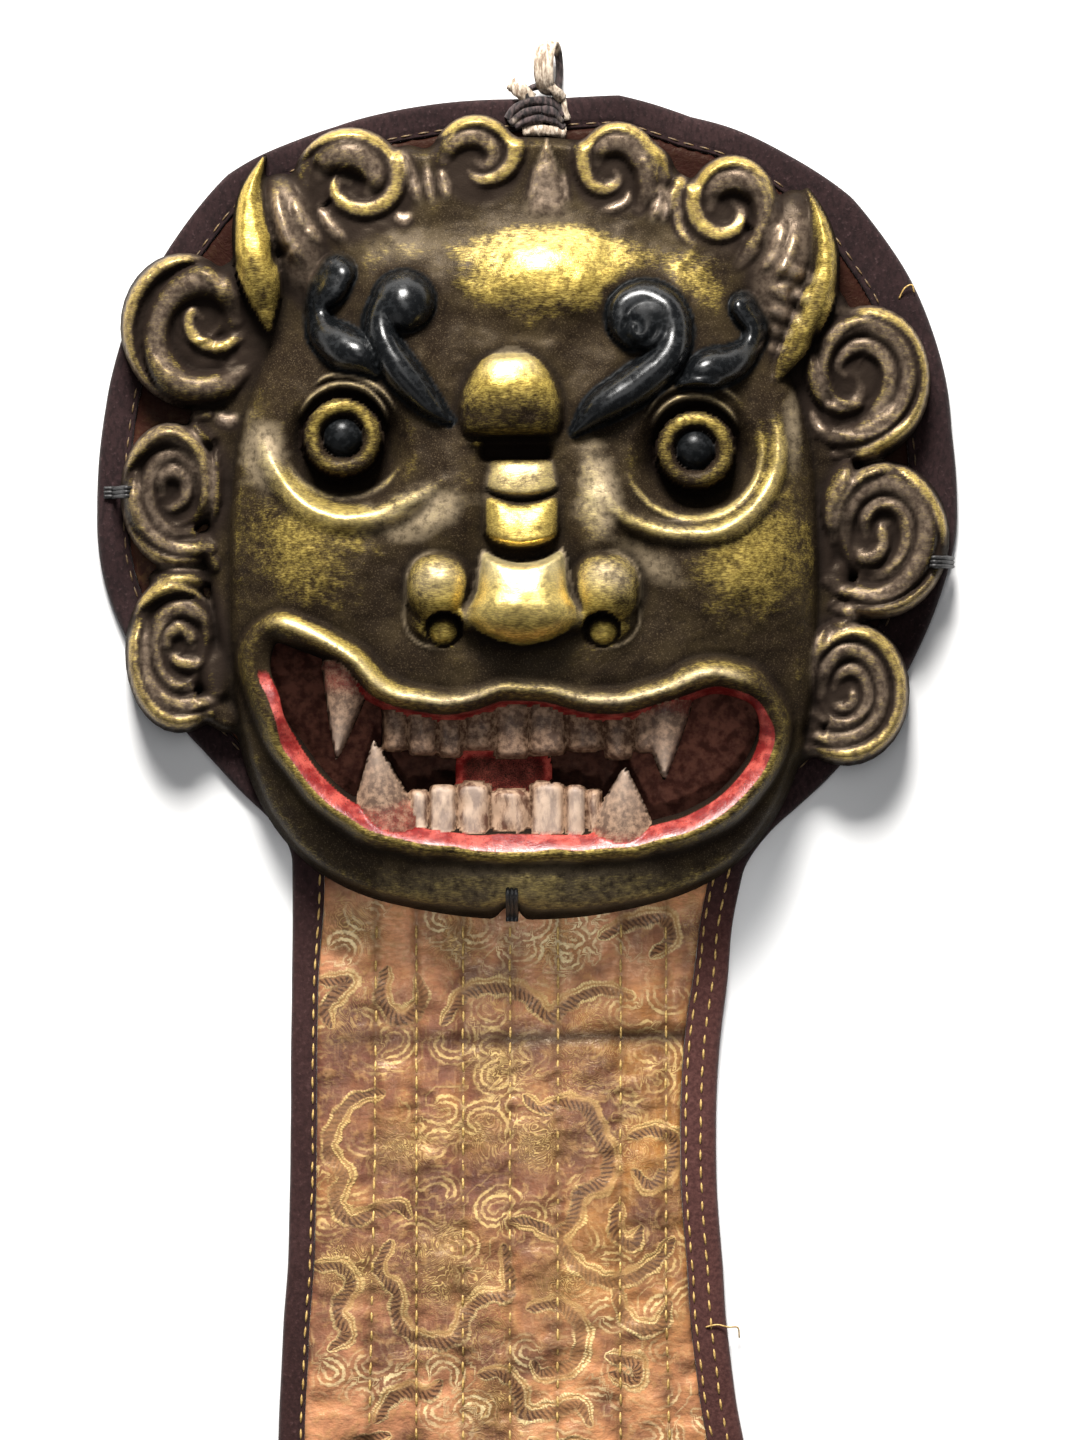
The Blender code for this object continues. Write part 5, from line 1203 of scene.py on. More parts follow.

# %% [markdown]
# ## Gilded lacquer
#
# Brown lacquer first, then brass powder rubbed over it. Handling wears the brass off the middle
# slopes and polishes it on the crests. Painted shade darkens the valleys and pits, and painted
# highlights make pale what faces the light. So the gold follows the marks from the carving, torn
# at its edges by a fine scratchy noise. Black lacquer on the brows is glossier, and the red and
# the ivory of the mouth are dull paint.

# %% Gilded lacquer
def gilded_lacquer():
    """Lacquer by cloudy noise, brass over it where the gold mark less its wear is high, then the
    ivory, red and black paints where their own marks are."""
    f = Finish("gilded_lacquer")
    gold, bright, hair = f.mark("gold"), f.mark("bright"), f.mark("hair")
    pit_shade, crest, dark = f.mark("pit_shade"), f.mark("crest"), f.mark("dark")
    black, bone = f.mark("black"), f.mark("bone")
    scratch = f.noise(1900.0, 3.0, 0.6, f.stretched((0.35, 1.5, 1.0), turn=0.12))
    speck = f.noise(2600.0, 2.0, 0.6)
    patch = f.noise(560.0, 4.0, 0.65)
    cloud = f.noise(70.0, 3.0, 0.6)
    combed = f.noise(900.0, 3.0, 0.6, f.stretched((1.0, 0.16, 1.0)))

    lacquer = f.mix(f.ramp(cloud, 0.35, 0.7), (0.016, 0.0105, 0.0065), (0.036, 0.025, 0.012))
    lacquer = f.mix(f.ramp(speck, 0.54, 0.68, 0.0, 0.45), lacquer, (0.125, 0.09, 0.05))
    lacquer = f.mix(f.ramp(patch, 0.44, 0.3, 0.0, 0.7), lacquer, (0.01, 0.007, 0.005))
    # Painted highlight: the skin turns pale where the bright mark is.
    on_skin = bright * (1.0 - hair)
    pale_highlight = on_skin * f.ramp(patch, 0.3, 0.58, 0.35, 0.95)
    skin = f.mix(pale_highlight, lacquer, (0.5, 0.39, 0.25))

    # The hair: dark beside its ropes and bronze to pale on their crests by the bright mark, a painted
    # highlight together with rubbed wear.
    bronze = f.mix(f.ramp(patch, 0.3, 0.66), (0.085, 0.059, 0.043), (0.26, 0.192, 0.136))
    hair_colour = f.mix(f.ramp(bright, 0.0, 0.75), (0.021, 0.0142, 0.0108), bronze)
    streaks = f.ramp(bright, 0.65, 1.0) * f.ramp(combed, 0.4, 0.6, 0.2, 1.0)
    hair_colour = f.mix(streaks, hair_colour, (0.43, 0.33, 0.25))
    ground = f.mix(hair, skin, hair_colour)

    brass = f.mix(f.ramp(scratch, 0.34, 0.66), (0.4, 0.272, 0.05), (0.76, 0.57, 0.135))
    brass = f.mix(f.ramp(patch, 0.54, 0.34, 0.0, 0.5), brass, (0.23, 0.14, 0.03))
    # Painted highlight: the brass turns pale cream where the bright mark is, on the skin.
    brass = f.mix(on_skin * 0.75, brass, (0.9, 0.79, 0.5))
    torn = (patch - 0.5) * 0.5 + (scratch - 0.5) * 0.65 + (cloud - 0.5) * 0.45
    # The pits lose their gold to painted shade.
    kept = gold + torn + crest * 0.2 - pit_shade * 0.9 - black * 1.5
    gold_share = f.ramp(kept, 0.08, 1.0)
    colour = f.mix(gold_share, ground, brass)
    # Painted shade: near-black in the pits and where the dark mark is.
    colour = f.mix(f.math("MULTIPLY", pit_shade, 0.9, clamp=True), colour, (0.008, 0.006, 0.005))
    colour = f.mix(dark * 0.85, colour, (0.01, 0.006, 0.005))

    stain = f.noise(420.0, 4.0, 0.65, f.stretched((1.0, 0.4, 1.0)))
    ivory = f.mix(f.ramp(stain, 0.38, 0.6), (0.085, 0.038, 0.024), (0.34, 0.225, 0.15))
    stained = f.mix(f.ramp(patch, 0.38, 0.66), (0.055, 0.026, 0.015), (0.26, 0.16, 0.1))
    tooth = f.mix(f.ramp(bone, 0.45, 0.95), stained, ivory)
    tooth = f.mix(bright * 0.8, tooth, (0.6, 0.49, 0.4))
    is_tooth = f.ramp(bone, 0.02, 0.25)
    colour = f.mix(is_tooth, colour, tooth)

    paint_wear = f.noise(260.0, 4.0, 0.6)
    red_paint = f.mix(f.ramp(paint_wear, 0.4, 0.68), (0.17, 0.012, 0.011), (0.4, 0.07, 0.052))
    red_paint = f.mix(f.ramp(speck, 0.58, 0.7), red_paint, (0.05, 0.01, 0.008))
    ragged = (speck - 0.5) * 0.4
    red = f.ramp(f.mark("red") + ragged, 0.25, 0.6)
    colour = f.mix(red, colour, red_paint)

    black_lacquer = f.mix(f.ramp(patch, 0.5, 0.62), (0.0035, 0.004, 0.0045), (0.01, 0.011, 0.012))
    colour = f.mix(black, colour, black_lacquer)

    painted = f.larger(f.larger(is_tooth, red), black)
    metal = f.larger(gold_share, hair * bright * 0.7)
    metal = (metal * 0.76 + 0.04) * (1.0 - painted)
    rough = f.ramp(patch, 0.35, 0.65, 0.34, 0.47) + pit_shade * 0.2 - black * 0.14 - hair * 0.05 - red * 0.08
    rough = rough + dark * 0.12
    grainy = f.bump(speck, 0.0001, f.ramp(black, 0.0, 1.0, 0.5, 0.1))
    worn = f.bump(patch, 0.00022, f.ramp(black, 0.0, 1.0, 0.55, 0.15), grainy)
    shine = f.ramp(f.larger(painted, metal), 0.1, 0.6, 0.1, 0.44) - is_tooth * 0.3
    shine = shine * f.ramp(pit_shade, 0.02, 0.45, 1.0, 0.12) * f.ramp(dark, 0.1, 0.9, 1.0, 0.12)
    tint = f.mix(painted, (1.0, 0.8, 0.55), (1.0, 1.0, 1.0))
    return f.finish(Base_Color=colour, Metallic=metal, Roughness=rough, Normal=worn, Specular_IOR_Level=shine,
                    Specular_Tint=tint)

# %% [markdown]
# ## Building the face
#
# The heights are worked out twice: once on a square grid, to find where the edge and the mouth
# run, and once on the grid that was fitted to them. What stands above the mean height around it
# is marked as a crest, so the brass can wear there, and what lies below it as a pit, which
# painted shade darkens.

# %% Build the face
def blurred(field, keep, radius, pitch):
    """Local mean over a square of `radius`, ignoring what lies outside `keep`."""
    reach = max(int(radius / pitch), 1)
    weight = keep.astype(float)
    total = np.stack((field * weight, weight))
    for axis in (1, 2):
        for _ in range(2):
            summed = np.cumsum(np.pad(total, [(0, 0)] + [(reach + 1, reach) if a == axis else (0, 0)
                                                         for a in (1, 2)]), axis=axis)
            width = 2 * reach + 1
            total = (np.take(summed, range(width, summed.shape[axis]), axis=axis)
                     - np.take(summed, range(0, summed.shape[axis] - width), axis=axis)) / width
    return total[0] / np.maximum(total[1], 1e-6)


FACE_PITCH = 0.64
BACK_BLOCK = 4

xs = np.arange(-108.0, 109.0, FACE_PITCH)
ys = np.arange(-106.0, 103.0, FACE_PITCH)
grid_x, grid_y = np.meshgrid(xs, ys)
_, edge, opening, _ = face_relief(grid_x, grid_y)
face_x, face_y, face_triangles = fitted_grid(xs, ys, np.minimum(edge, -opening))
front, _, _, marks = face_relief(face_x, face_y)
back = hollowed(front, opening < 0.1, FACE_PITCH)
inside = (edge > -0.5) & (opening < 0.5)
near_mean = blurred(front, inside, 1.6, FACE_PITCH)
wide_mean = blurred(front, inside, 4.5, FACE_PITCH)
marks["crest"] = np.clip((front - near_mean) / 0.5, 0, 1)
near_pit, wide_pit = np.clip((near_mean - front) / 0.8, 0, 1), np.clip((wide_mean - front) / 2.5, 0, 1)
marks["pit_shade"] = near_pit * 0.35 + wide_pit * 0.5
face_mesh, used = shell_mesh("lion_face", face_x, face_y, face_triangles, front + FACE_PLANE,
                             back + FACE_PLANE, BACK_BLOCK)
for name, values in marks.items():
    # The shell's inner side is fully dark: painted shade.
    inner_value = 1.0 if name == "dark" else 0.0
    both = np.concatenate((values.ravel(), np.full(values.size, inner_value)))
    store(face_mesh, name, both[used])
add_piece("lion_face_gilded", face_mesh, gilded_lacquer(), ["lion_face"])
face_mesh.calc_loop_triangles()
print("triangles on the face:", len(face_mesh.loop_triangles))

# %% [markdown]
# ## The hanging's outline
#
# Lining, brocade and binding share one outline: a disc that runs into a long band. Hand cutting
# and years of hanging have left the edge a little wavy.

# %% Outline of the hanging
LINING_TOP, PANEL_LOW, BINDING_TOP = 0.9, 1.2, 3.3
HEM_Y = -308.0
BINDING_WIDTH = 8.0
SEAM_GAP = 0.08                 # between the binding's inner side and the cloths it holds
OUTLINE_STEP, STITCH_PITCH = 1.4, 4.2


def cloth_edges(y):
    """How far the cloth reaches to the left and to the right at a height y."""
    from_middle = (y + 2.0) / 104.0
    power = np.where(from_middle > 0, 2.25, 1.7)
    disc = 107.3 * np.maximum(1 - np.abs(from_middle) ** power, 0) ** (1 / power)
    band_on = np.where(y < -2.0, 0.0, -200.0)
    left = 59.5 + 0.00027 * np.maximum(-115 - y, 0) ** 2
    from_waist = (y + 154.0) / 60
    flare = np.sqrt(1 + np.minimum(from_waist, 1.2) ** 2) - 1
    right = 47.5 + np.where(from_waist > 0, 15.0, 10.5) * flare
    return -smooth_max(disc, left + band_on, 9.0), smooth_max(disc, right + band_on, 9.0)


def cloth_outline(step):
    """The cloth's edge as an even loop of points `step` apart, clockwise from the hem's left end."""
    top = 102.0
    near_top = top - 104.0 * (1 - np.cos(np.linspace(0, pi / 2, 300)))
    y = np.concatenate((near_top, np.linspace(-2.0, HEM_Y, 600)[1:]))
    left, right = cloth_edges(y)
    hem = np.stack((np.linspace(right[-1], left[-1], 60), np.full(60, HEM_Y)), 1)[1:-1]
    loop = np.vstack((np.stack((left, y), 1)[::-1], np.stack((right, y), 1)[1:], hem))
    closed = np.vstack((loop, loop[:1]))
    lengths = np.concatenate(([0.0], np.cumsum(np.hypot(*np.diff(closed, axis=0).T))))
    even = np.linspace(0, lengths[-1], int(lengths[-1] / step), endpoint=False)
    return np.stack([np.interp(even, lengths, closed[:, k]) for k in (0, 1)], 1)


# The disc was cut by eye: how far its edge stands out from the true round, by angle in degrees
CUT_ANGLES = (-30, -10, 12, 30, 45, 58, 68, 78, 88, 104, 116, 131, 145, 165, 195, 215)
CUT_BEYOND = (0.0, 0.5, 1.0, 3.4, 5.6, 4.2, 3.0, 4.8, 2.0, 2.4, 3.0, 5.6, 3.2, 1.6, 1.4, 0.0)


def cut_by_eye(loop):
    """The loop with the disc's edge moved outwards by the hand-cut amount."""
    middle = np.array((0.0, -2.0))
    x, y = (loop - middle).T
    angle = np.degrees(np.arctan2(y, x))
    beyond = np.interp(np.where(angle < -90, angle + 360, angle), CUT_ANGLES, CUT_BEYOND)
    return middle + (loop - middle) * (1 + beyond / np.hypot(x, y))[:, None]


def inset(loop, distance):
    """The loop moved inwards by a distance along its own normals (it runs clockwise)."""
    along = np.roll(loop, -1, axis=0) - np.roll(loop, 1, axis=0)
    along /= np.hypot(*along.T)[:, None]
    inward = np.stack((along[:, 1], -along[:, 0]), 1)
    return loop + np.asarray(distance).reshape(-1, 1) * inward


def binding_width(loop):
    """How wide the binding lies: broad round the right of the disc, narrow down the left of the band."""
    x, y = loop[:, 0], loop[:, 1]
    broad = 3.6 * step_up(x, 55, 92) * step_up(y, -62, -30) + 0.9 * step_up(x, 0, 30) * step_up(-y, 100, 130)
    narrow = 1.5 * step_up(-x, 0, 40) * step_up(-y, 92, 120)
    return BINDING_WIDTH + broad - narrow


outline = cut_by_eye(cloth_outline(OUTLINE_STEP))
wave = 0.5 * unevenness(*outline.T, 17.0, 21)
outline = inset(outline, 0.4 - wave)
rough_outline = outline[::3]
print("outline points:", len(outline))

# %% [markdown]
# ## Quilted brocade
#
# The front is a silk brocade, quilted to its lining along lines that run down the band, 11 mm
# apart. Each line of stitches pulls a furrow, and the thread gathers the cloth into tiny puckers
# across it. The woven scrolls are drawn as curves: each point of the cloth stores how far it lies
# from the nearest scroll's middle and how far along it, and the finish weaves the threads there.

# %% Quilting lines and woven scrolls
PANEL_PITCH, PANEL_BLOCK = 0.95, 6
QUILT_LINES = (((-38, -94), (-38.4, -160), (-40, -240), (-41.5, -306)), ((-28, -94), (-28, -306)),
               ((-16.3, -94), (-16.3, -306)), ((-4.5, -94), (-4.6, -306)), ((7.5, -94), (7.4, -306)),
               ((23.3, -94), (23.0, -200), (23.8, -306)), ((34.6, -94), (34.6, -200), (37.6, -306)))
FOLD_Y = -132.4
SCROLL_REACH, CURL_REACH = 6, 4  # how far from a scroll and a curl the cloth still feels it
# Middle lines of the woven cloud scrolls
SCROLLS = (
    "-36.7 -145.6, -43.8 -147.5, -48 -153.2, -49.9 -159.8, -45.7 -166.3, -48 -172, -44.7 -177.2, "
    "-39.1 -175.3, -32.5 -173.4, -29.7 -176.7",
    "-34.4 -183.3, -37.2 -189.9, -32.5 -195.5, -32.5 -202.1, -26.8 -207.3, -18.4 -206.8, -15.6 -200.2, "
    "-10.9 -196.4, -5.2 -195.5, -5.7 -188, -6.1 -184.2",
    "-0.5 -146.6, 3.3 -149.4, 8.9 -147.5, 15.5 -149.4, 18.3 -156, 21.1 -161.6, 19.3 -168.2, 13.6 -171, "
    "11.7 -177.6, 7 -181.4, 1.4 -178.6, -4.3 -177.6",
    "8 -182.3, 12.7 -188.9, 22.1 -192.7, 31.5 -188, 36.2 -182.3",
    "-21.2 -127.8, -15.6 -120.2, -6.1 -118.8, 0.4 -121.2, 5.1 -125.9, 10.8 -122.1, 18.3 -119.3, "
    "25.8 -121.2",
    "-51.8 -117.4, -44.7 -117.4, -50.4 -124, -49.4 -128.7",
    "-35.3 -114.6, -36.3 -122.1, -31.5 -126.8, -26.8 -122.1, -27.8 -116.5",
    "0.4 -199.3, 8 -198.3, 13.6 -204, 12.7 -212.4, 8.9 -215.3, 3.3 -216.2, 1.4 -213.4",
    "-11.8 -216.2, -7.1 -215.3, -2.4 -219, -0.5 -225.6, 7 -224.7, 12.7 -222.8, 15.5 -228.4",
    "-38.1 -227.5, -34.4 -221.8, -29.7 -220, -25 -220.9, -22.1 -218.1",
    "22.1 -195.5, 25.8 -203, 32.4 -204, 35.2 -198.3",
    "20.2 -211.5, 27.7 -213.4, 26.8 -218.1, 21.1 -216.2",
    "18.3 -106.1, 25.8 -102.4, 34.3 -101.4, 36.2 -107.1, 31.5 -110.8",
    "25.8 -156, 31.5 -154.6, 37.1 -156.9, 36.2 -164.5, 30.5 -169.2, 26.8 -165.4",
    "23 -173.9, 22.1 -179.5, 25.8 -183.3, 28.2 -179.5",
    "-53.2 -188.9, -46.6 -188.9, -43.8 -193.6, -47.5 -200.2, -44.7 -205.9, -49.4 -209.6",
)
MOTIFS = ((-30.6, -158.8), (-12.7, -156.0), (3.3, -157.9), (-19.3, -184.2), (-8.0, -139.1), (-18.0, -106.0),
          (8.0, -108.5), (-44.0, -104.0))
REPEAT_DOWN = 86.0              # the woven pattern's repeat, for the part of the band below


def repeated(curves):
    """The scrolls, and the same scrolls again one repeat further down the band."""
    lower = [curve + (1.5, -REPEAT_DOWN) for curve in curves if curve[:, 1].min() < -140]
    return curves + [curve for curve in lower if curve[:, 1].max() < -222]

# %% Where the woven threads run
def curls():
    """Woven cloud heads scattered over the band: each an open arc that tightens a little."""
    scatter = np.random.default_rng(83)
    column, row = np.meshgrid(np.arange(-54, 52, 11.0), np.arange(-300, -98, 11.0))
    middles = np.stack((column.ravel(), row.ravel()), 1) + scatter.uniform(-4.5, 4.5, (column.size, 2))
    t = np.linspace(0, 1, 16)
    for middle in middles:
        turns, start, hand = scatter.uniform(0.45, 0.85), scatter.uniform(0, 2 * pi), scatter.choice((-1, 1))
        size = scatter.uniform(3.4, 6.2) * (1 - 0.62 * t)
        angle = start + hand * 2 * pi * turns * t
        yield middle + np.stack((1.25 * size * np.cos(angle), size * np.sin(angle)), 1)


def weave_marks(x, y):
    """Distance to the nearest scroll in widths of it, the same with the scroll's side as its sign
    (kept near the scroll only), place along it in mm, distance to the nearest curl with its side
    as sign, and how near a woven blossom is."""
    across, along, side = np.full(x.shape, 30.0), np.zeros(x.shape), np.ones(x.shape)
    for curve in repeated([rows_of(table) for table in SCROLLS]):
        path = curve_through(curve, 5)
        near = close_to(x, y, path, SCROLL_REACH)
        if near.any():
            distance, place, hand = nearest_on(x[near], y[near], path)
            length = np.hypot(*np.diff(path, axis=0).T).sum()
            taper = 0.45 + 0.55 * np.sin(pi * np.clip(place, 0, 1)) ** 0.5
            distance = distance / (taper * (1 + 0.16 * np.sin(place * length * 1.15)))
            closer = distance < across[near]
            across[near] = np.where(closer, distance, across[near])
            along[near] = np.where(closer, place * length, along[near])
            side[near] = np.where(closer, hand, side[near])
    curl = np.full(x.shape, float(CURL_REACH))
    for path in curls():
        near = close_to(x, y, path, CURL_REACH)
        if near.any():
            distance, _, hand = nearest_on(x[near], y[near], path)
            closer = distance < np.abs(curl[near])
            curl[near] = np.where(closer, hand * distance, curl[near])
    blossom = np.zeros(x.shape)
    for cx, cy in MOTIFS + tuple((px, py - REPEAT_DOWN) for px, py in MOTIFS):
        blossom = np.maximum(blossom, mound(oval(x, y, (cx, cy), (12.5, 10.5))))
    return across, side * across * (1 - step_up(across, 3.0, 4.5)), along, curl, blossom

# %% Quilted height
def line_x(points, y):
    """Where a quilting line runs at a height y."""
    across, up = np.array(points).T
    return np.interp(-y, -up, across)


def quilting(x, y):
    """Height of the quilted cloth, and how near a line of stitches and the fold run."""
    nearest = np.full(x.shape, 40.0)
    for points in QUILT_LINES:
        nearest = np.where(y < -80, np.minimum(nearest, np.abs(x - line_x(points, y))), nearest)
    puff = np.clip(nearest / 5.5, 0, 1)
    on_band = step_up(-y, 88, 98)
    z = 2.35 + 0.75 * (1 - on_band) + on_band * 0.95 * np.sqrt(1 - (1 - puff) ** 2)
    pucker = unevenness(x * 0.45, y, 1.7, 31) * np.exp(-nearest / 2.6)
    z = z + on_band * (0.6 * pucker + 0.85 * unevenness(x, y, 9.0, 33)
                       + 0.52 * unevenness(x * 0.7, y, 3.6, 35))
    slack = on_band * step_up(y, -142, -118) * (1 - step_up(y, -106, -99))
    z = z + slack * (0.85 * unevenness(x, y * 0.8, 12.0, 37) + 0.5 * unevenness(x * 1.2, y, 5.5, 39))
    from_fold = y - FOLD_Y - 0.6 * np.sin(x / 22.0)
    depth = 0.45 + 0.55 * step_up(x, -35, 5)
    crease, swell = np.exp(-(from_fold / 1.9) ** 2), np.exp(-((from_fold + 5.0) / 3.0) ** 2)
    z = z - on_band * depth * (crease - 0.2 * swell)
    z = np.maximum(z, PANEL_LOW + 0.6)
    return z, np.exp(-(nearest / 0.9) ** 2) * on_band, depth * np.exp(-((from_fold - 0.6) / 2.3) ** 2)

# %% [markdown]
# ## The brocade's weave
#
# The real cloth is worn rose and tan silk with ribbons and cloud heads in flat gold thread. One
# swatch laid over it would repeat, and would not follow the quilting. So the finish is worked out
# at each place from the stored distances: threads lie where a distance is small, slanting stripes
# shade a ribbon's lower side, and noise stretched along the warp or the weft breaks them up.

# %% Brocade finish
def brocade():
    """Two warm grounds with worn threads over them, paler where light is painted on, then blossoms, cloud
    heads and ribbons, each drawn where the stored distances are small, and last the painted shade in the
    furrows, along the fold and under the face, with the mouth's walls painted lighter."""
    f = Finish("brocade")
    across, lean, along = f.mark("scroll_across"), f.mark("scroll_lean"), f.mark("scroll_along")
    warp = f.noise(900.0, 2.0, 0.5, f.stretched((1.0, 0.14, 1.0)))
    weft = f.noise(1100.0, 2.0, 0.6, f.stretched((0.4, 1.0, 1.0)))
    cloud = f.noise(16.0, 3.0, 0.55)
    blotch = f.noise(50.0, 3.0, 0.6)
    tuft = f.noise(330.0, 3.0, 0.6)
    worn = f.ramp(f.noise(120.0, 3.0), 0.38, 0.6, 0.12, 1.0)

    rose, tan, plum = (0.165, 0.06, 0.037), (0.27, 0.112, 0.028), (0.088, 0.031, 0.024)
    painted_light = f.mark("painted_light")
    ground = f.mix(f.ramp(cloud + f.mark("warmth"), 0.75, 1.25), rose, tan)
    # Painted light: a paler ground near the top of the band, in the chin's shadow, and near its foot.
    ground = f.mix(painted_light, ground, (0.78, 0.345, 0.165))
    for grain, low, high, most, tint in (
            (blotch, 0.42, 0.66, 0.9, plum), (blotch, 0.46, 0.28, 0.45, (0.5, 0.22, 0.065)),
            (weft, 0.38, 0.66, 0.3, (0.12, 0.05, 0.022)), (warp, 0.54, 0.76, 0.25, (0.48, 0.27, 0.13)),
            (tuft, 0.5, 0.66, 0.4, (0.44, 0.24, 0.09))):
        ground = f.mix(f.ramp(grain, low, high, 0.0, most), ground, tint)

    blossom, curl = f.mark("blossom"), f.mark("curl")
    drawing = f.noise(120.0, 2.0, 0.5, distortion=2.0)
    wave = abs(f.sine(drawing * 40.0))
    region = f.math("ADD", blossom * 0.9, f.ramp(f.noise(28.0), 0.5, 0.62, 0.0, 0.4), clamp=True)
    tracery = (1.0 - f.ramp(wave, 0.25, 0.65)) * region
    shade = blossom * f.ramp(wave, 0.5, 1.0, 0.1, 0.8)
    ground = f.mix(shade, ground, (0.165, 0.09, 0.024))
    ground = f.mix(tracery * worn, ground, (0.56, 0.38, 0.135))

    ragged = (f.noise(900.0) - 0.5) * 1.6
    across, lean = across + ragged, lean + ragged
    within = 1.0 - f.ramp(abs(curl) + ragged * 0.5, 1.4, 2.6)
    threads = f.ramp(f.sine((curl + ragged) * 3.7), -0.3, 0.8) * f.ramp(tuft, 0.34, 0.58, 0.35, 1.0)
    patchy = f.ramp(across, 2.6, 4.0) * f.ramp(f.noise(38.0), 0.42, 0.6, 0.1, 1.0)
    cloud_head = within * patchy
    colour = f.mix(cloud_head * 0.35, ground, (0.2, 0.095, 0.038))
    # Here and in the ribbons' lines below, threads are paler where light is painted on.
    pale_gold = f.mix(painted_light, (0.68, 0.48, 0.19), (0.98, 0.84, 0.5))
    colour = f.mix(cloud_head * threads * 0.75, colour, pale_gold)

    ribbon = 1.0 - f.ramp(across, 2.1, 2.8)
    mood = f.noise(26.0, 1.0)
    slant = along * 4.8 + lean * 2.6 + f.noise(300.0) * 5.0
    hatch = f.ramp(f.sine(slant), -0.6, 0.8, 0.35, 1.0) * f.ramp(mood, 0.34, 0.5, 0.5, 1.0)
    edges = 1.0 - f.ramp(abs(across - 2.3), 0.15, 0.65)
    vein = 1.0 - f.ramp(abs(lean - 1.1), 0.1, 0.45)
    shaded_side = 1.0 - f.ramp(lean, 0.0, 1.2)
    colour = f.mix(ribbon * 0.45, colour, (0.3, 0.165, 0.065))
    colour = f.mix(ribbon * hatch * shaded_side * 0.95, colour, (0.062, 0.026, 0.016))
    lines = f.larger(edges, vein * ribbon) * worn
    twist = f.ramp(f.sine(along * 9.5), -0.5, 0.6, 0.5, 0.95)
    lines = lines * twist * f.ramp(mood, 0.42, 0.6, 1.0, 0.6)
    gold_side = ribbon * f.ramp(lean, 0.9, 1.5, 0.0, 0.45)
    colour = f.mix(gold_side, colour, (0.4, 0.235, 0.08))
    colour = f.mix(lines, colour, f.mix(painted_light, (0.6, 0.41, 0.155), (0.94, 0.76, 0.4)))

    # Painted shade in the furrows along the quilting lines.
    colour = f.mix(f.mark("furrow") * 0.65, colour, (0.12, 0.055, 0.022))
    # Painted shade in the fold's crease.
    colour = f.mix(f.math("MULTIPLY", f.mark("fold"), 0.92, clamp=True), colour, (0.03, 0.013, 0.007))
    shade_under_face, mouth_wall_light = f.mark("shade_under_face"), f.mark("mouth_wall_light")
    # Painted shade on the cloth under the face; inside the mouth a lighter red-brown that stands for the
    # mouth's lit inner walls, painted light.
    colour = f.mix(f.ramp(shade_under_face, 0.0, 1.0, 0.0, 0.98), colour, (0.019, 0.0066, 0.0052))
    in_mouth = f.mix(f.ramp(tuft, 0.35, 0.65), (0.085, 0.026, 0.019), (0.25, 0.092, 0.062))
    colour = f.mix(mouth_wall_light, colour, in_mouth)
    thread_lift = lines * 0.9 + tracery * 0.5
    crimp = f.bump(tuft, 0.0008, 0.6, f.bump(warp, 0.00018, 0.5))
    relief = f.bump(thread_lift + weft * 0.6, 0.0003, 0.6, crimp)
    # Duller, without sheen, where shade and the mouth's walls are painted on.
    shade_and_mouth_wall = f.larger(shade_under_face, mouth_wall_light)
    return f.finish(Base_Color=colour, Roughness=f.ramp(weft, 0.35, 0.65, 0.36, 0.55),
                    Sheen_Weight=f.ramp(shade_and_mouth_wall, 0.0, 1.0, 0.1, 0.0), Sheen_Roughness=0.4,
                    Specular_IOR_Level=f.ramp(shade_and_mouth_wall, 0.0, 1.0, 0.42, 0.04), Specular_Tint=(1.0, 0.84, 0.62),
                    Normal=relief)

# %% Build the brocade panel
def cloth_grid(xs, ys):
    """A grid that fills the cloth within its binding: x, y, triangles, and the distance inside."""
    x, y = np.meshgrid(xs, ys)
    loop = inset(rough_outline, binding_width(rough_outline) + SEAM_GAP)
    distance = nearest_on(x, y, np.vstack((loop, loop[:1])))[0]
    inside = np.where(inside_of(x, y, loop), distance, -distance)
    return *fitted_grid(xs, ys, inside), inside


panel_x, panel_y, panel_triangles, panel_edge = cloth_grid(np.arange(-104.0, 105.0, PANEL_PITCH),
                                                           np.arange(-303.0, 101.0, PANEL_PITCH))
panel_top, furrow, fold = quilting(panel_x, panel_y)
rounding = 0.35 + 0.65 * dome(1 - np.clip(panel_edge / 2.5, 0, 1))
panel_top = PANEL_LOW + 0.5 + (panel_top - PANEL_LOW - 0.5) * rounding
across, lean, along, curl, blossom = weave_marks(panel_x, panel_y)
panel_mesh, used = shell_mesh("brocade_panel", panel_x, panel_y, panel_triangles, panel_top,
                              np.full(panel_x.shape, PANEL_LOW), PANEL_BLOCK)
# Painted shade on the cloth under the face, lighter on the disc's left side where the light falls, and a
# lighter red-brown in the mouth for its lit walls.
lit_side = step_up(-panel_x, 60, 76) * step_up(-panel_y, -32, -10)
shade_under_face = step_up(-face_outline(panel_x, panel_y), -1.0, 6.0)
shade_under_face = step_up(panel_y, -97, -86) * np.maximum(0.97 - 0.42 * lit_side, shade_under_face)
lips = curve_through(LIP_LINE, closed=True)
in_mouth = np.where(inside_of(panel_x, panel_y, lips), nearest_on(panel_x, panel_y, lips)[0], 0.0)
mouth_wall_light = step_up(in_mouth, 1.5, 5.0) * (0.25 + 0.75 * step_up(np.abs(panel_x + 5), 24, 38))
warmth = 0.5 + 0.45 * np.tanh((panel_x + 0.35 * (-190 - panel_y)) / 30.0)
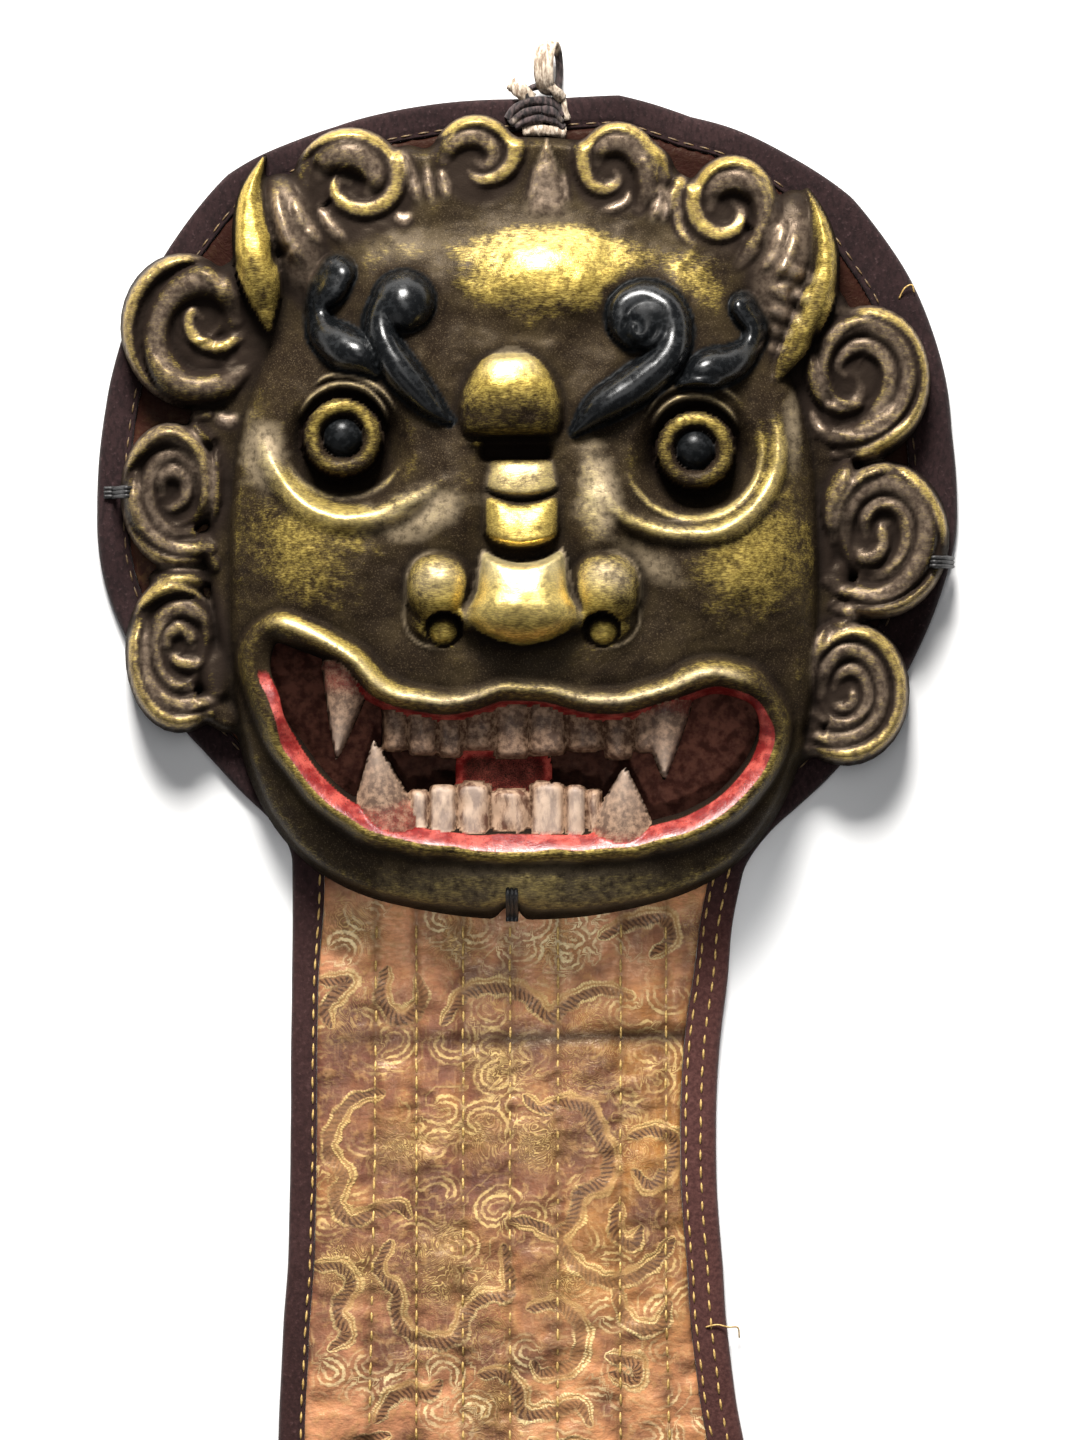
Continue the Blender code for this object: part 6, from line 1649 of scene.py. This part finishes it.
# Painted light near the top of the band, below the chin, and near its foot.
upper_painted_light = 0.8 * step_up(panel_y, -134, -104) * (1 - step_up(panel_y, -97, -88))
painted_light = upper_painted_light + 0.6 * step_up(-panel_y, 178, 224)
cloth_marks = {"scroll_across": across, "scroll_lean": lean, "scroll_along": along, "curl": curl,
               "blossom": blossom, "warmth": warmth, "painted_light": painted_light, "furrow": furrow,
               "fold": fold * (panel_y < -96), "shade_under_face": shade_under_face, "mouth_wall_light": mouth_wall_light}
for name, values in cloth_marks.items():
    store(panel_mesh, name, np.concatenate((values.ravel(), values.ravel()))[used])
panel = add_piece("brocade_quilted", panel_mesh, brocade(), ["brocade_panel"])
flat_width, flat_length = np.ptp(panel_x[panel_edge > 0]) * MM, np.ptp(panel_y[panel_edge > 0]) * MM
flat_area = float((panel_edge > 0).sum()) * (PANEL_PITCH * MM) ** 2
print("brocade cut from", round(flat_width, 3), "by", round(flat_length, 3), "m, area", round(flat_area, 4))

# %% [markdown]
# ## Plum binding
#
# A strip of plum twill is folded over the raw edge and stitched down along its inner side. It is
# swept round the outline as one closed profile: rolled at the fold, flat on top, and pulled down
# a little at every stitch.

# %% Twill finish
def twill(name, dark, light, fineness=1.0):
    """Plain cloth: two tones in broad clouds, dark between its slanting ribs, with pale lint, and
    browner where the mesh is marked as faded."""
    f = Finish(name)
    ribs = f.noise(1100.0 * fineness, 2.0, 0.5, f.stretched((1.0, 0.5, 1.0), turn=0.7))
    lint = f.noise(900.0 * fineness, 4.0, 0.7)
    cloud = f.noise(35.0, 3.0, 0.6)
    colour = f.mix(f.ramp(cloud, 0.35, 0.68), dark, light)
    colour = f.mix(f.ramp(ribs, 0.4, 0.66, 0.0, 0.6), colour, tuple(0.4 * c for c in dark))
    colour = f.mix(f.ramp(lint, 0.56, 0.72, 0.0, 0.6), colour, tuple(2.2 * c + 0.012 for c in light))
    browned = f.mix(f.ramp(lint, 0.35, 0.65), (0.062, 0.021, 0.018), (0.118, 0.046, 0.038))
    colour = f.mix(f.mark("faded"), colour, browned)
    worn = f.bump(ribs, 0.00022, 0.7, f.bump(lint, 0.0003, 0.6))
    return f.finish(Base_Color=colour, Roughness=0.88, Sheen_Weight=0.1, Sheen_Roughness=0.5,
                    Specular_IOR_Level=0.15, Normal=worn)

# %% Build the binding
def swept_band(outline, profile, width, lift):
    """A closed band: each profile point (share of the width in from the outline, height, share of
    the lift) becomes a ring."""
    rings = [np.column_stack((inset(outline, across * width), height + share * lift))
             for across, height, share in profile]
    return np.vstack(rings), ring_quads(len(rings), len(outline), True)[:, (0, 3, 2, 1)]


count = len(outline)
slack = unevenness(*outline.T, 11.0, 41) + 0.6 * unevenness(*outline.T, 26.0, 43)
stitch_phase = np.cos(2 * pi * np.arange(count) * OUTLINE_STEP / STITCH_PITCH)
BINDING_PROFILE = (
    (0.02, 1.0, 0.0), (0.0, 1.7, 0.1), (0.03, 2.5, 0.4), (0.11, 3.05, 0.7), (0.25, 3.3, 1.0),
    (0.45, 3.25, 1.0), (0.65, 3.25, 1.0), (0.78, 3.15, 0.6), (0.85, 3.0, 0.3), (0.93, 3.15, 0.2),
    (0.99, 2.9, 0.0), (1.0, 1.6, 0.0), (0.99, 0.1, 0.0), (0.87, 0.0, 0.0), (0.45, 0.0, 0.0),
    (0.09, 0.1, 0.0),
)
STITCHED_POINT = 8              # the point of the profile that the stitches pull down
width = binding_width(outline)
binding_points, binding_faces = swept_band(outline, BINDING_PROFILE, width, 0.26 * slack)
stitched_ring = binding_points.reshape(len(BINDING_PROFILE), count, 3)[STITCHED_POINT]
stitched_ring[:, 2] -= 0.18 + 0.16 * stitch_phase
binding_mesh = mesh_from("edge_binding", binding_points, binding_faces.tolist())
faded = (0.2 + 0.45 * step_up(binding_points[:, 0], 10, 40)) * step_up(-binding_points[:, 1], 84, 110)
store(binding_mesh, "faded", faded)
plum = twill("plum_twill", (0.015, 0.0062, 0.0066), (0.028, 0.013, 0.0132))
add_piece("binding_plum", binding_mesh, plum, ["edge_binding"])

# %% [markdown]
# ## Lining and stitches
#
# The back is a plain dark cotton, cut to the brocade's shape. The stitches are thick mustard silk:
# each is a short bowed capsule that dips into the cloth at both ends.

# %% Lining
LINING_PITCH, LINING_BLOCK = 3.0, 4
lining_x, lining_y, lining_triangles, _ = cloth_grid(np.arange(-105.0, 106.0, LINING_PITCH),
                                                     np.arange(-306.0, 103.0, LINING_PITCH))
sag = 0.12 * unevenness(lining_x, lining_y, 14.0, 51)
lining_mesh, _ = shell_mesh("back_lining", lining_x, lining_y, lining_triangles,
                            np.full(lining_x.shape, LINING_TOP - 0.05), 0.18 + sag, LINING_BLOCK)
lining = add_piece("lining_cotton", lining_mesh,
                   twill("dark_cotton", (0.04, 0.02, 0.02), (0.075, 0.04, 0.038), 0.8),
                   ["back_lining"])

# %% Stitch and thread shapes
def capsules(starts, ends, radius, bow, sides=6, rings=5):
    """Short bowed capsules, one per pair of points: each a tapered tube that arches by `bow`."""
    t = np.linspace(0, 1, rings)
    along = ends - starts
    flat = along / np.linalg.norm(along, axis=1)[:, None]
    side = np.stack((-flat[:, 1], flat[:, 0], np.zeros(len(flat))), 1)
    middle = starts[:, None] + along[:, None] * t[None, :, None]
    middle[:, :, 2] += bow * np.sin(pi * t)[None, :]
    width = radius * (0.35 + 0.65 * np.sin(pi * t) ** 0.5)
    turn = np.linspace(0, 2 * pi, sides, endpoint=False)
    spoke = (np.cos(turn)[:, None] * side[:, None, None]
             + np.sin(turn)[:, None] * np.array((0, 0, 1.0)))
    ring = middle[:, :, None] + width[:, None, None] * spoke
    tips = np.stack((middle[:, 0] - 0.1 * flat, middle[:, -1] + 0.1 * flat), 1)
    points = np.concatenate((ring.reshape(len(starts), -1, 3), tips), 1)
    quads = ring_quads(rings, sides, False)
    k = np.arange(sides)
    beside = (k + 1) % sides
    tip, last_ring = np.full(sides, rings * sides), (rings - 1) * sides
    first = np.stack((tip, beside, k), 1)
    last = np.stack((tip + 1, last_ring + k, last_ring + beside), 1)
    offset = np.arange(len(starts))[:, None, None] * points.shape[1]
    faces = (quads[None] + offset).reshape(-1, 4).tolist()
    return points.reshape(-1, 3), faces + (np.vstack((first, last))[None] + offset).reshape(-1, 3).tolist()


def tube(path, side, half_side, half_up, sides, twist=0.0, closed=False, groove=0.0, grooves=3):
    """A tube along a path. Its section is an oval with one axis along `side`, turning by `twist`
    from end to end, with shallow grooves like the plies of a thread."""
    path = np.asarray(path, float)
    along = np.roll(path, -1, 0) - np.roll(path, 1, 0) if closed else np.gradient(path, axis=0)
    along /= np.linalg.norm(along, axis=1)[:, None]
    across = np.asarray(side, float) - along * (along @ np.asarray(side, float))[:, None]
    across /= np.linalg.norm(across, axis=1)[:, None]
    up = np.cross(along, across)
    count = len(path)
    turn = np.linspace(0, 2 * pi, sides, endpoint=False)[None, :]
    spin = np.linspace(0, twist, count)[:, None]
    ply = 1 - groove * (0.5 + 0.5 * np.cos(grooves * (turn + spin)))
    u = np.broadcast_to(half_side, count)[:, None] * np.cos(turn) * ply
    v = np.broadcast_to(half_up, count)[:, None] * np.sin(turn) * ply
    rings = path[:, None] + u[..., None] * across[:, None] + v[..., None] * up[:, None]
    faces = ring_quads(count, sides, closed).tolist()
    if not closed:
        faces += [list(reversed(range(sides))), list(range((count - 1) * sides, count * sides))]
    return rings.reshape(-1, 3), faces


def joined(parts):
    """Several (points, faces) pairs as one."""
    points, faces, offset = [], [], 0
    for part_points, part_faces in parts:
        points.append(part_points)
        faces += [[p + offset for p in face] for face in part_faces]
        offset += len(part_points)
    return np.vstack(points), faces


def stitch_ends(path, pitch, length, height, seed):
    """Starts and ends of the stitches along a path, a little uneven, at the heights given."""
    jitter = np.random.default_rng(seed)
    steps = np.concatenate(([0.0], np.cumsum(np.hypot(*np.diff(path, axis=0).T))))
    places = np.arange(pitch, steps[-1] - pitch, pitch)
    places = places + jitter.uniform(-0.3, 0.3, len(places))
    ends = []
    for shift in (-length / 2, length / 2):
        at = places + shift + jitter.uniform(-0.15, 0.15, len(places))
        x, y = [np.interp(at, steps, path[:, k]) for k in (0, 1)]
        ends.append(np.stack((x + jitter.uniform(-0.12, 0.12, len(at)), y, height(x, y)), 1))
    return ends

# %% Where the stitches lie
# How long each stitch is, and how far across the binding its two rows run
QUILT_STITCH, BINDING_STITCH = 3.3, 2.7
INNER_ROW, OUTER_ROW = 0.86, 0.44
down = -np.arange(101.0, 299.0, 2.0)
quilt_ends = [stitch_ends(np.stack((line_x(line, down), down), 1), STITCH_PITCH, QUILT_STITCH,
                          lambda x, y: quilting(x, y)[0] + 0.05, 60 + n)
              for n, line in enumerate(QUILT_LINES)]
round_ends = stitch_ends(inset(outline, INNER_ROW * width), STITCH_PITCH, BINDING_STITCH,
                         lambda x, y: 2.95 + 0 * x, 71)
second_row = inset(outline, OUTER_ROW * width)
second_row = second_row[(second_row[:, 0] > 30) & (second_row[:, 1] < -85) & (second_row[:, 1] > -300)]
second_ends = stitch_ends(second_row, STITCH_PITCH, BINDING_STITCH, lambda x, y: 3.35 + 0 * x, 72)

# Threads that have pulled out of the binding's stitches: points in millimetres
LOOSE_THREADS = (((44.6, -204.2, 3.6), (47.4, -203.6, 4.0), (50.2, -204.2, 3.8), (52.6, -204.4, 2.6),
                  (53.0, -207.0, 1.6)),
                 ((93.0, 53.6, 3.4), (94.4, 56.2, 4.4), (96.2, 57.0, 4.2), (96.8, 55.2, 3.6)))

# %% Silk, and the stitches
def silk(name, dark, light):
    """Thread: two tones mixed along its plies."""
    f = Finish(name)
    ply = f.noise(1600.0, 3.0, 0.6)
    return f.finish(Base_Color=f.mix(f.ramp(ply, 0.35, 0.65), dark, light), Roughness=0.55,
                    Normal=f.bump(ply, 0.0002, 0.6))


mustard = silk("mustard_silk", (0.3, 0.17, 0.04), (0.66, 0.45, 0.15))
starts = np.vstack([pair[0] for pair in quilt_ends])
ends = np.vstack([pair[1] for pair in quilt_ends])
add_piece("quilt_stitches", mesh_from("quilt_stitches", *capsules(starts, ends, 0.35, 0.3)), mustard)
on_band = round_ends[0][:, 1] < -84
band_points = [np.vstack((round_ends[k][on_band], second_ends[k])) for k in (0, 1)]
loose_threads = [tube(curve_through(points, 6), (0, 0.2, 1), 0.22, 0.22, 6) for points in LOOSE_THREADS]
add_piece("binding_stitches",
          mesh_from("binding_stitches", *joined([capsules(*band_points, 0.3, 0.26)] + loose_threads)),
          mustard)
# Darker thread on the disc: painted shade, for stitches sunk in the shadow round the face.
shaded_silk = silk("silk_in_painted_shade", (0.06, 0.035, 0.018), (0.2, 0.125, 0.05))
disc_points = [round_ends[k][~on_band] for k in (0, 1)]
add_piece("disc_stitches", mesh_from("disc_stitches", *capsules(*disc_points, 0.24, 0.16)), shaded_silk)

# %% [markdown]
# ## Hanging loop and black ties
#
# A folded tape is knotted and sewn to the top edge. Its fibres are twisted and grey with use. Each
# length is a tube with an oval, grooved section, so the plies show without a thread being modelled.
# The face is held by black thread at both sides and the chin: a few turns drawn tight over its rim.

# %% Lengths of tape
turn = np.linspace(0, 2 * pi, 60, endpoint=False)
loop_path = np.stack((6.0 - 2.0 * np.sin(turn), 111.3 - 6.3 * np.cos(turn), 4.5 + 3.6 * np.sin(turn)), 1)
wrap_path = np.stack((3.4 + 3.9 * np.cos(turn), 104.6 + 2.4 * np.sin(turn), 3.4 + 0.9 * np.cos(2 * turn)), 1)


def short(table):
    """A smooth line through a few points, for a short length of tape."""
    return curve_through(rows_of(table), 8)


# Each length of tape: path, side, half width, half thickness, how dark it is with soot and painted shade, and
# whether it is closed
TAPE = (
    (wrap_path, (0, 0, 1), 1.4, 1.0, 1.0, True),
    (short("2.6 109.2 5.6, 4.6 107.6 6.6, 6.8 105.6 6.6, 8.6 103.6 5"), (1, 1, 0), 1.6, 1.0, 0.3, False),
    (short("-4 107.4 3.2, -2.6 106.4 4.4, -1 105 4.4, 0.2 103.4 3.6"), (1, 1, 0), 2.3, 1.5, 0.05, False),
    (short("-4.8 98.6 3.6, -2.8 101.4 4.6, 1.6 103.2 5.2, 6.2 102.4 5, 8.8 99.4 4"),
     (0, 1, 0), 1.3, 1.2, 0.85, False),
    (short("-4.4 97.6 4, -1.6 99.6 5, 2.4 100.9 5.4, 6.2 100.2 5.2, 8.4 97.8 4.2"),
     (0, 1, 0), 1.3, 1.1, 0.75, False),
    (short("-3.2 96.8 4, -0.2 98.2 4.8, 3.2 98.8 5, 6.8 98 4.8, 8.8 96.4 4"),
     (0, 1, 0), 1.2, 1.0, 0.9, False),
    (short("8.7 104.2 4.4, 9.2 101.4 4.8, 9.9 98.4 4.2"), (1, 0, 0), 0.8, 0.7, 0.1, False),
    (short("-1.2 95.4 3.8, 2.2 95.9 4.6, 5.8 95.6 4.6, 9.4 95.2 3.8"), (0, 1, 0), 1.5, 0.9, 0.25, False),
)
legs = 1.8 + 0.85 * np.sin(turn)
tape_parts = [tube(loop_path, (1, 0, 0), legs, 0.65, 14, closed=True, groove=0.12, grooves=5)]
# The loop is darker on its back leg and lower down: painted shade.
soot_and_shade = [np.repeat(np.clip(0.45 - 0.75 * np.sin(turn) + 0.1 * (112 - loop_path[:, 1]), 0, 1), 14)]
for k, (path, side, half_side, half_up, soot_and_shade_level, closed) in enumerate(TAPE):
    lumpy = 1 + 0.22 * unevenness(path[:, 0], path[:, 1], 1.6, 90 + k)
    tape_parts.append(tube(path, side, half_side * lumpy, half_up * lumpy, 12, 2.5, closed, 0.22, 4))
    soot_and_shade.append(np.full(len(tape_parts[-1][0]), soot_and_shade_level))

# %% Tape finish, and the hanging tape
def tape_cloth():
    """Frayed pale fibre, blackened where the soot-and-shade mark less a stain's noise is high: dirt from use,
    and painted shade on the loop's back leg and in the knot.
    """
    f = Finish("tape_cloth")
    fibre = f.noise(1300.0, 3.0, 0.6, f.stretched((1.0, 0.3, 0.6), turn=0.35))
    stain = f.noise(260.0, 3.0, 0.6)
    clean = f.mix(f.ramp(fibre, 0.35, 0.65), (0.22, 0.155, 0.105), (0.66, 0.55, 0.43))
    soot_and_shade_colour = f.mix(f.ramp(fibre, 0.38, 0.66), (0.008, 0.005, 0.005), (0.075, 0.05, 0.048))
    share = f.mark("soot_and_shade") + (stain - 0.5) * 1.3
    colour = f.mix(f.ramp(share, 0.15, 0.75), clean, soot_and_shade_colour)
    return f.finish(Base_Color=colour, Roughness=0.9, Sheen_Weight=0.1, Normal=f.bump(fibre, 0.0005, 0.9))


tape_mesh = mesh_from("hanging_tape", *joined(tape_parts))
store(tape_mesh, "soot_and_shade", np.concatenate(soot_and_shade))
add_piece("hanging_tape", tape_mesh, tape_cloth(), ["hanging_loop"])

# %% [markdown]
# ## Thread ties
#
# Each tie goes up out of its hole, over the rim and down to the cloth. Its line could be drawn by
# hand, but it would sink into the rim somewhere. So a ball as thick as the thread is rolled over
# the surface, and the thread follows the ball's middle.

# %% Thread ties
TIES = {"tie_left": ((-99.2, 5.0), (-106.2, 5.0)), "tie_right": ((100.4, -12.5), (106.4, -12.5)),
        "tie_chin": ((-4.0, -93.5), (-4.0, -102.5))}
THREAD_RADIUS = 0.85


def over_the_rim(hole, foot):
    """The thread's middle line: up out of its hole, over the rim like a ball that rolls over the
    surface, and down to the cloth."""
    t = np.linspace(0, 1, 80)
    x, y = hole[0] + t * (foot[0] - hole[0]), hole[1] + t * (foot[1] - hole[1])
    height, edge = face_relief(x[None, :], y[None, :])[:2]
    surface = np.where(edge[0] > 0, FACE_PLANE + height[0], BINDING_TOP)
    place = t * hypot(foot[0] - hole[0], foot[1] - hole[1])
    apart = place[:, None] - place[None, :]
    ball = THREAD_RADIUS + 0.1
    lift = np.where(np.abs(apart) < ball, np.sqrt(np.maximum(ball ** 2 - apart ** 2, 0)), NOWHERE)
    rolled = (surface[None, :] + lift).max(axis=1)
    path = curve_through(np.vstack(([(hole[0], hole[1], surface[0] - 1.2)],
                                    np.stack((x, y, rolled), 1)[12:-8:10],
                                    [(foot[0], foot[1], BINDING_TOP + 0.5)])), 4)
    for _ in range(3):
        path[1:-1] = (path[:-2] + 2 * path[1:-1] + path[2:]) / 4
    return path


black_silk = silk("black_silk", (0.006, 0.006, 0.006), (0.03, 0.028, 0.028))
for name, (hole, foot) in TIES.items():
    side = np.array((hole[1] - foot[1], foot[0] - hole[0], 0.0)) / hypot(foot[0] - hole[0], foot[1] - hole[1])
    path = over_the_rim(hole, foot)
    turns = [tube(path + side * shift, side, 0.62, 0.62, 8, twist=6.0, groove=0.15, grooves=2)
             for shift in (-1.0, 0.0, 1.0)]
    points, faces = joined(turns)
    add_piece(name + "_thread", mesh_from(name, points, faces), black_silk, [name])

# %% [markdown]
# ## Floor
#
# The quilted brocade lies on its lining, and the lining on a plain pale floor. Both are cut to the same flat
# size.

# %% Floor
FLOOR_REACH, FLOOR_LEVEL = 2500, -0.3
corners = [(FLOOR_REACH * i, FLOOR_REACH * j, FLOOR_LEVEL) for i, j in ((-1, -1), (1, -1), (1, 1), (-1, 1))]
floor_mesh = mesh_from("floor", corners, [(0, 1, 2, 3)])
floor = put_in_scene("floor", floor_mesh)
paper = Finish("pale_floor")
pale = paper.mix(paper.noise(4.0), (0.86, 0.86, 0.86), (0.9, 0.9, 0.9))
floor_mesh.materials.append(paper.finish(Base_Color=pale, Roughness=0.9))
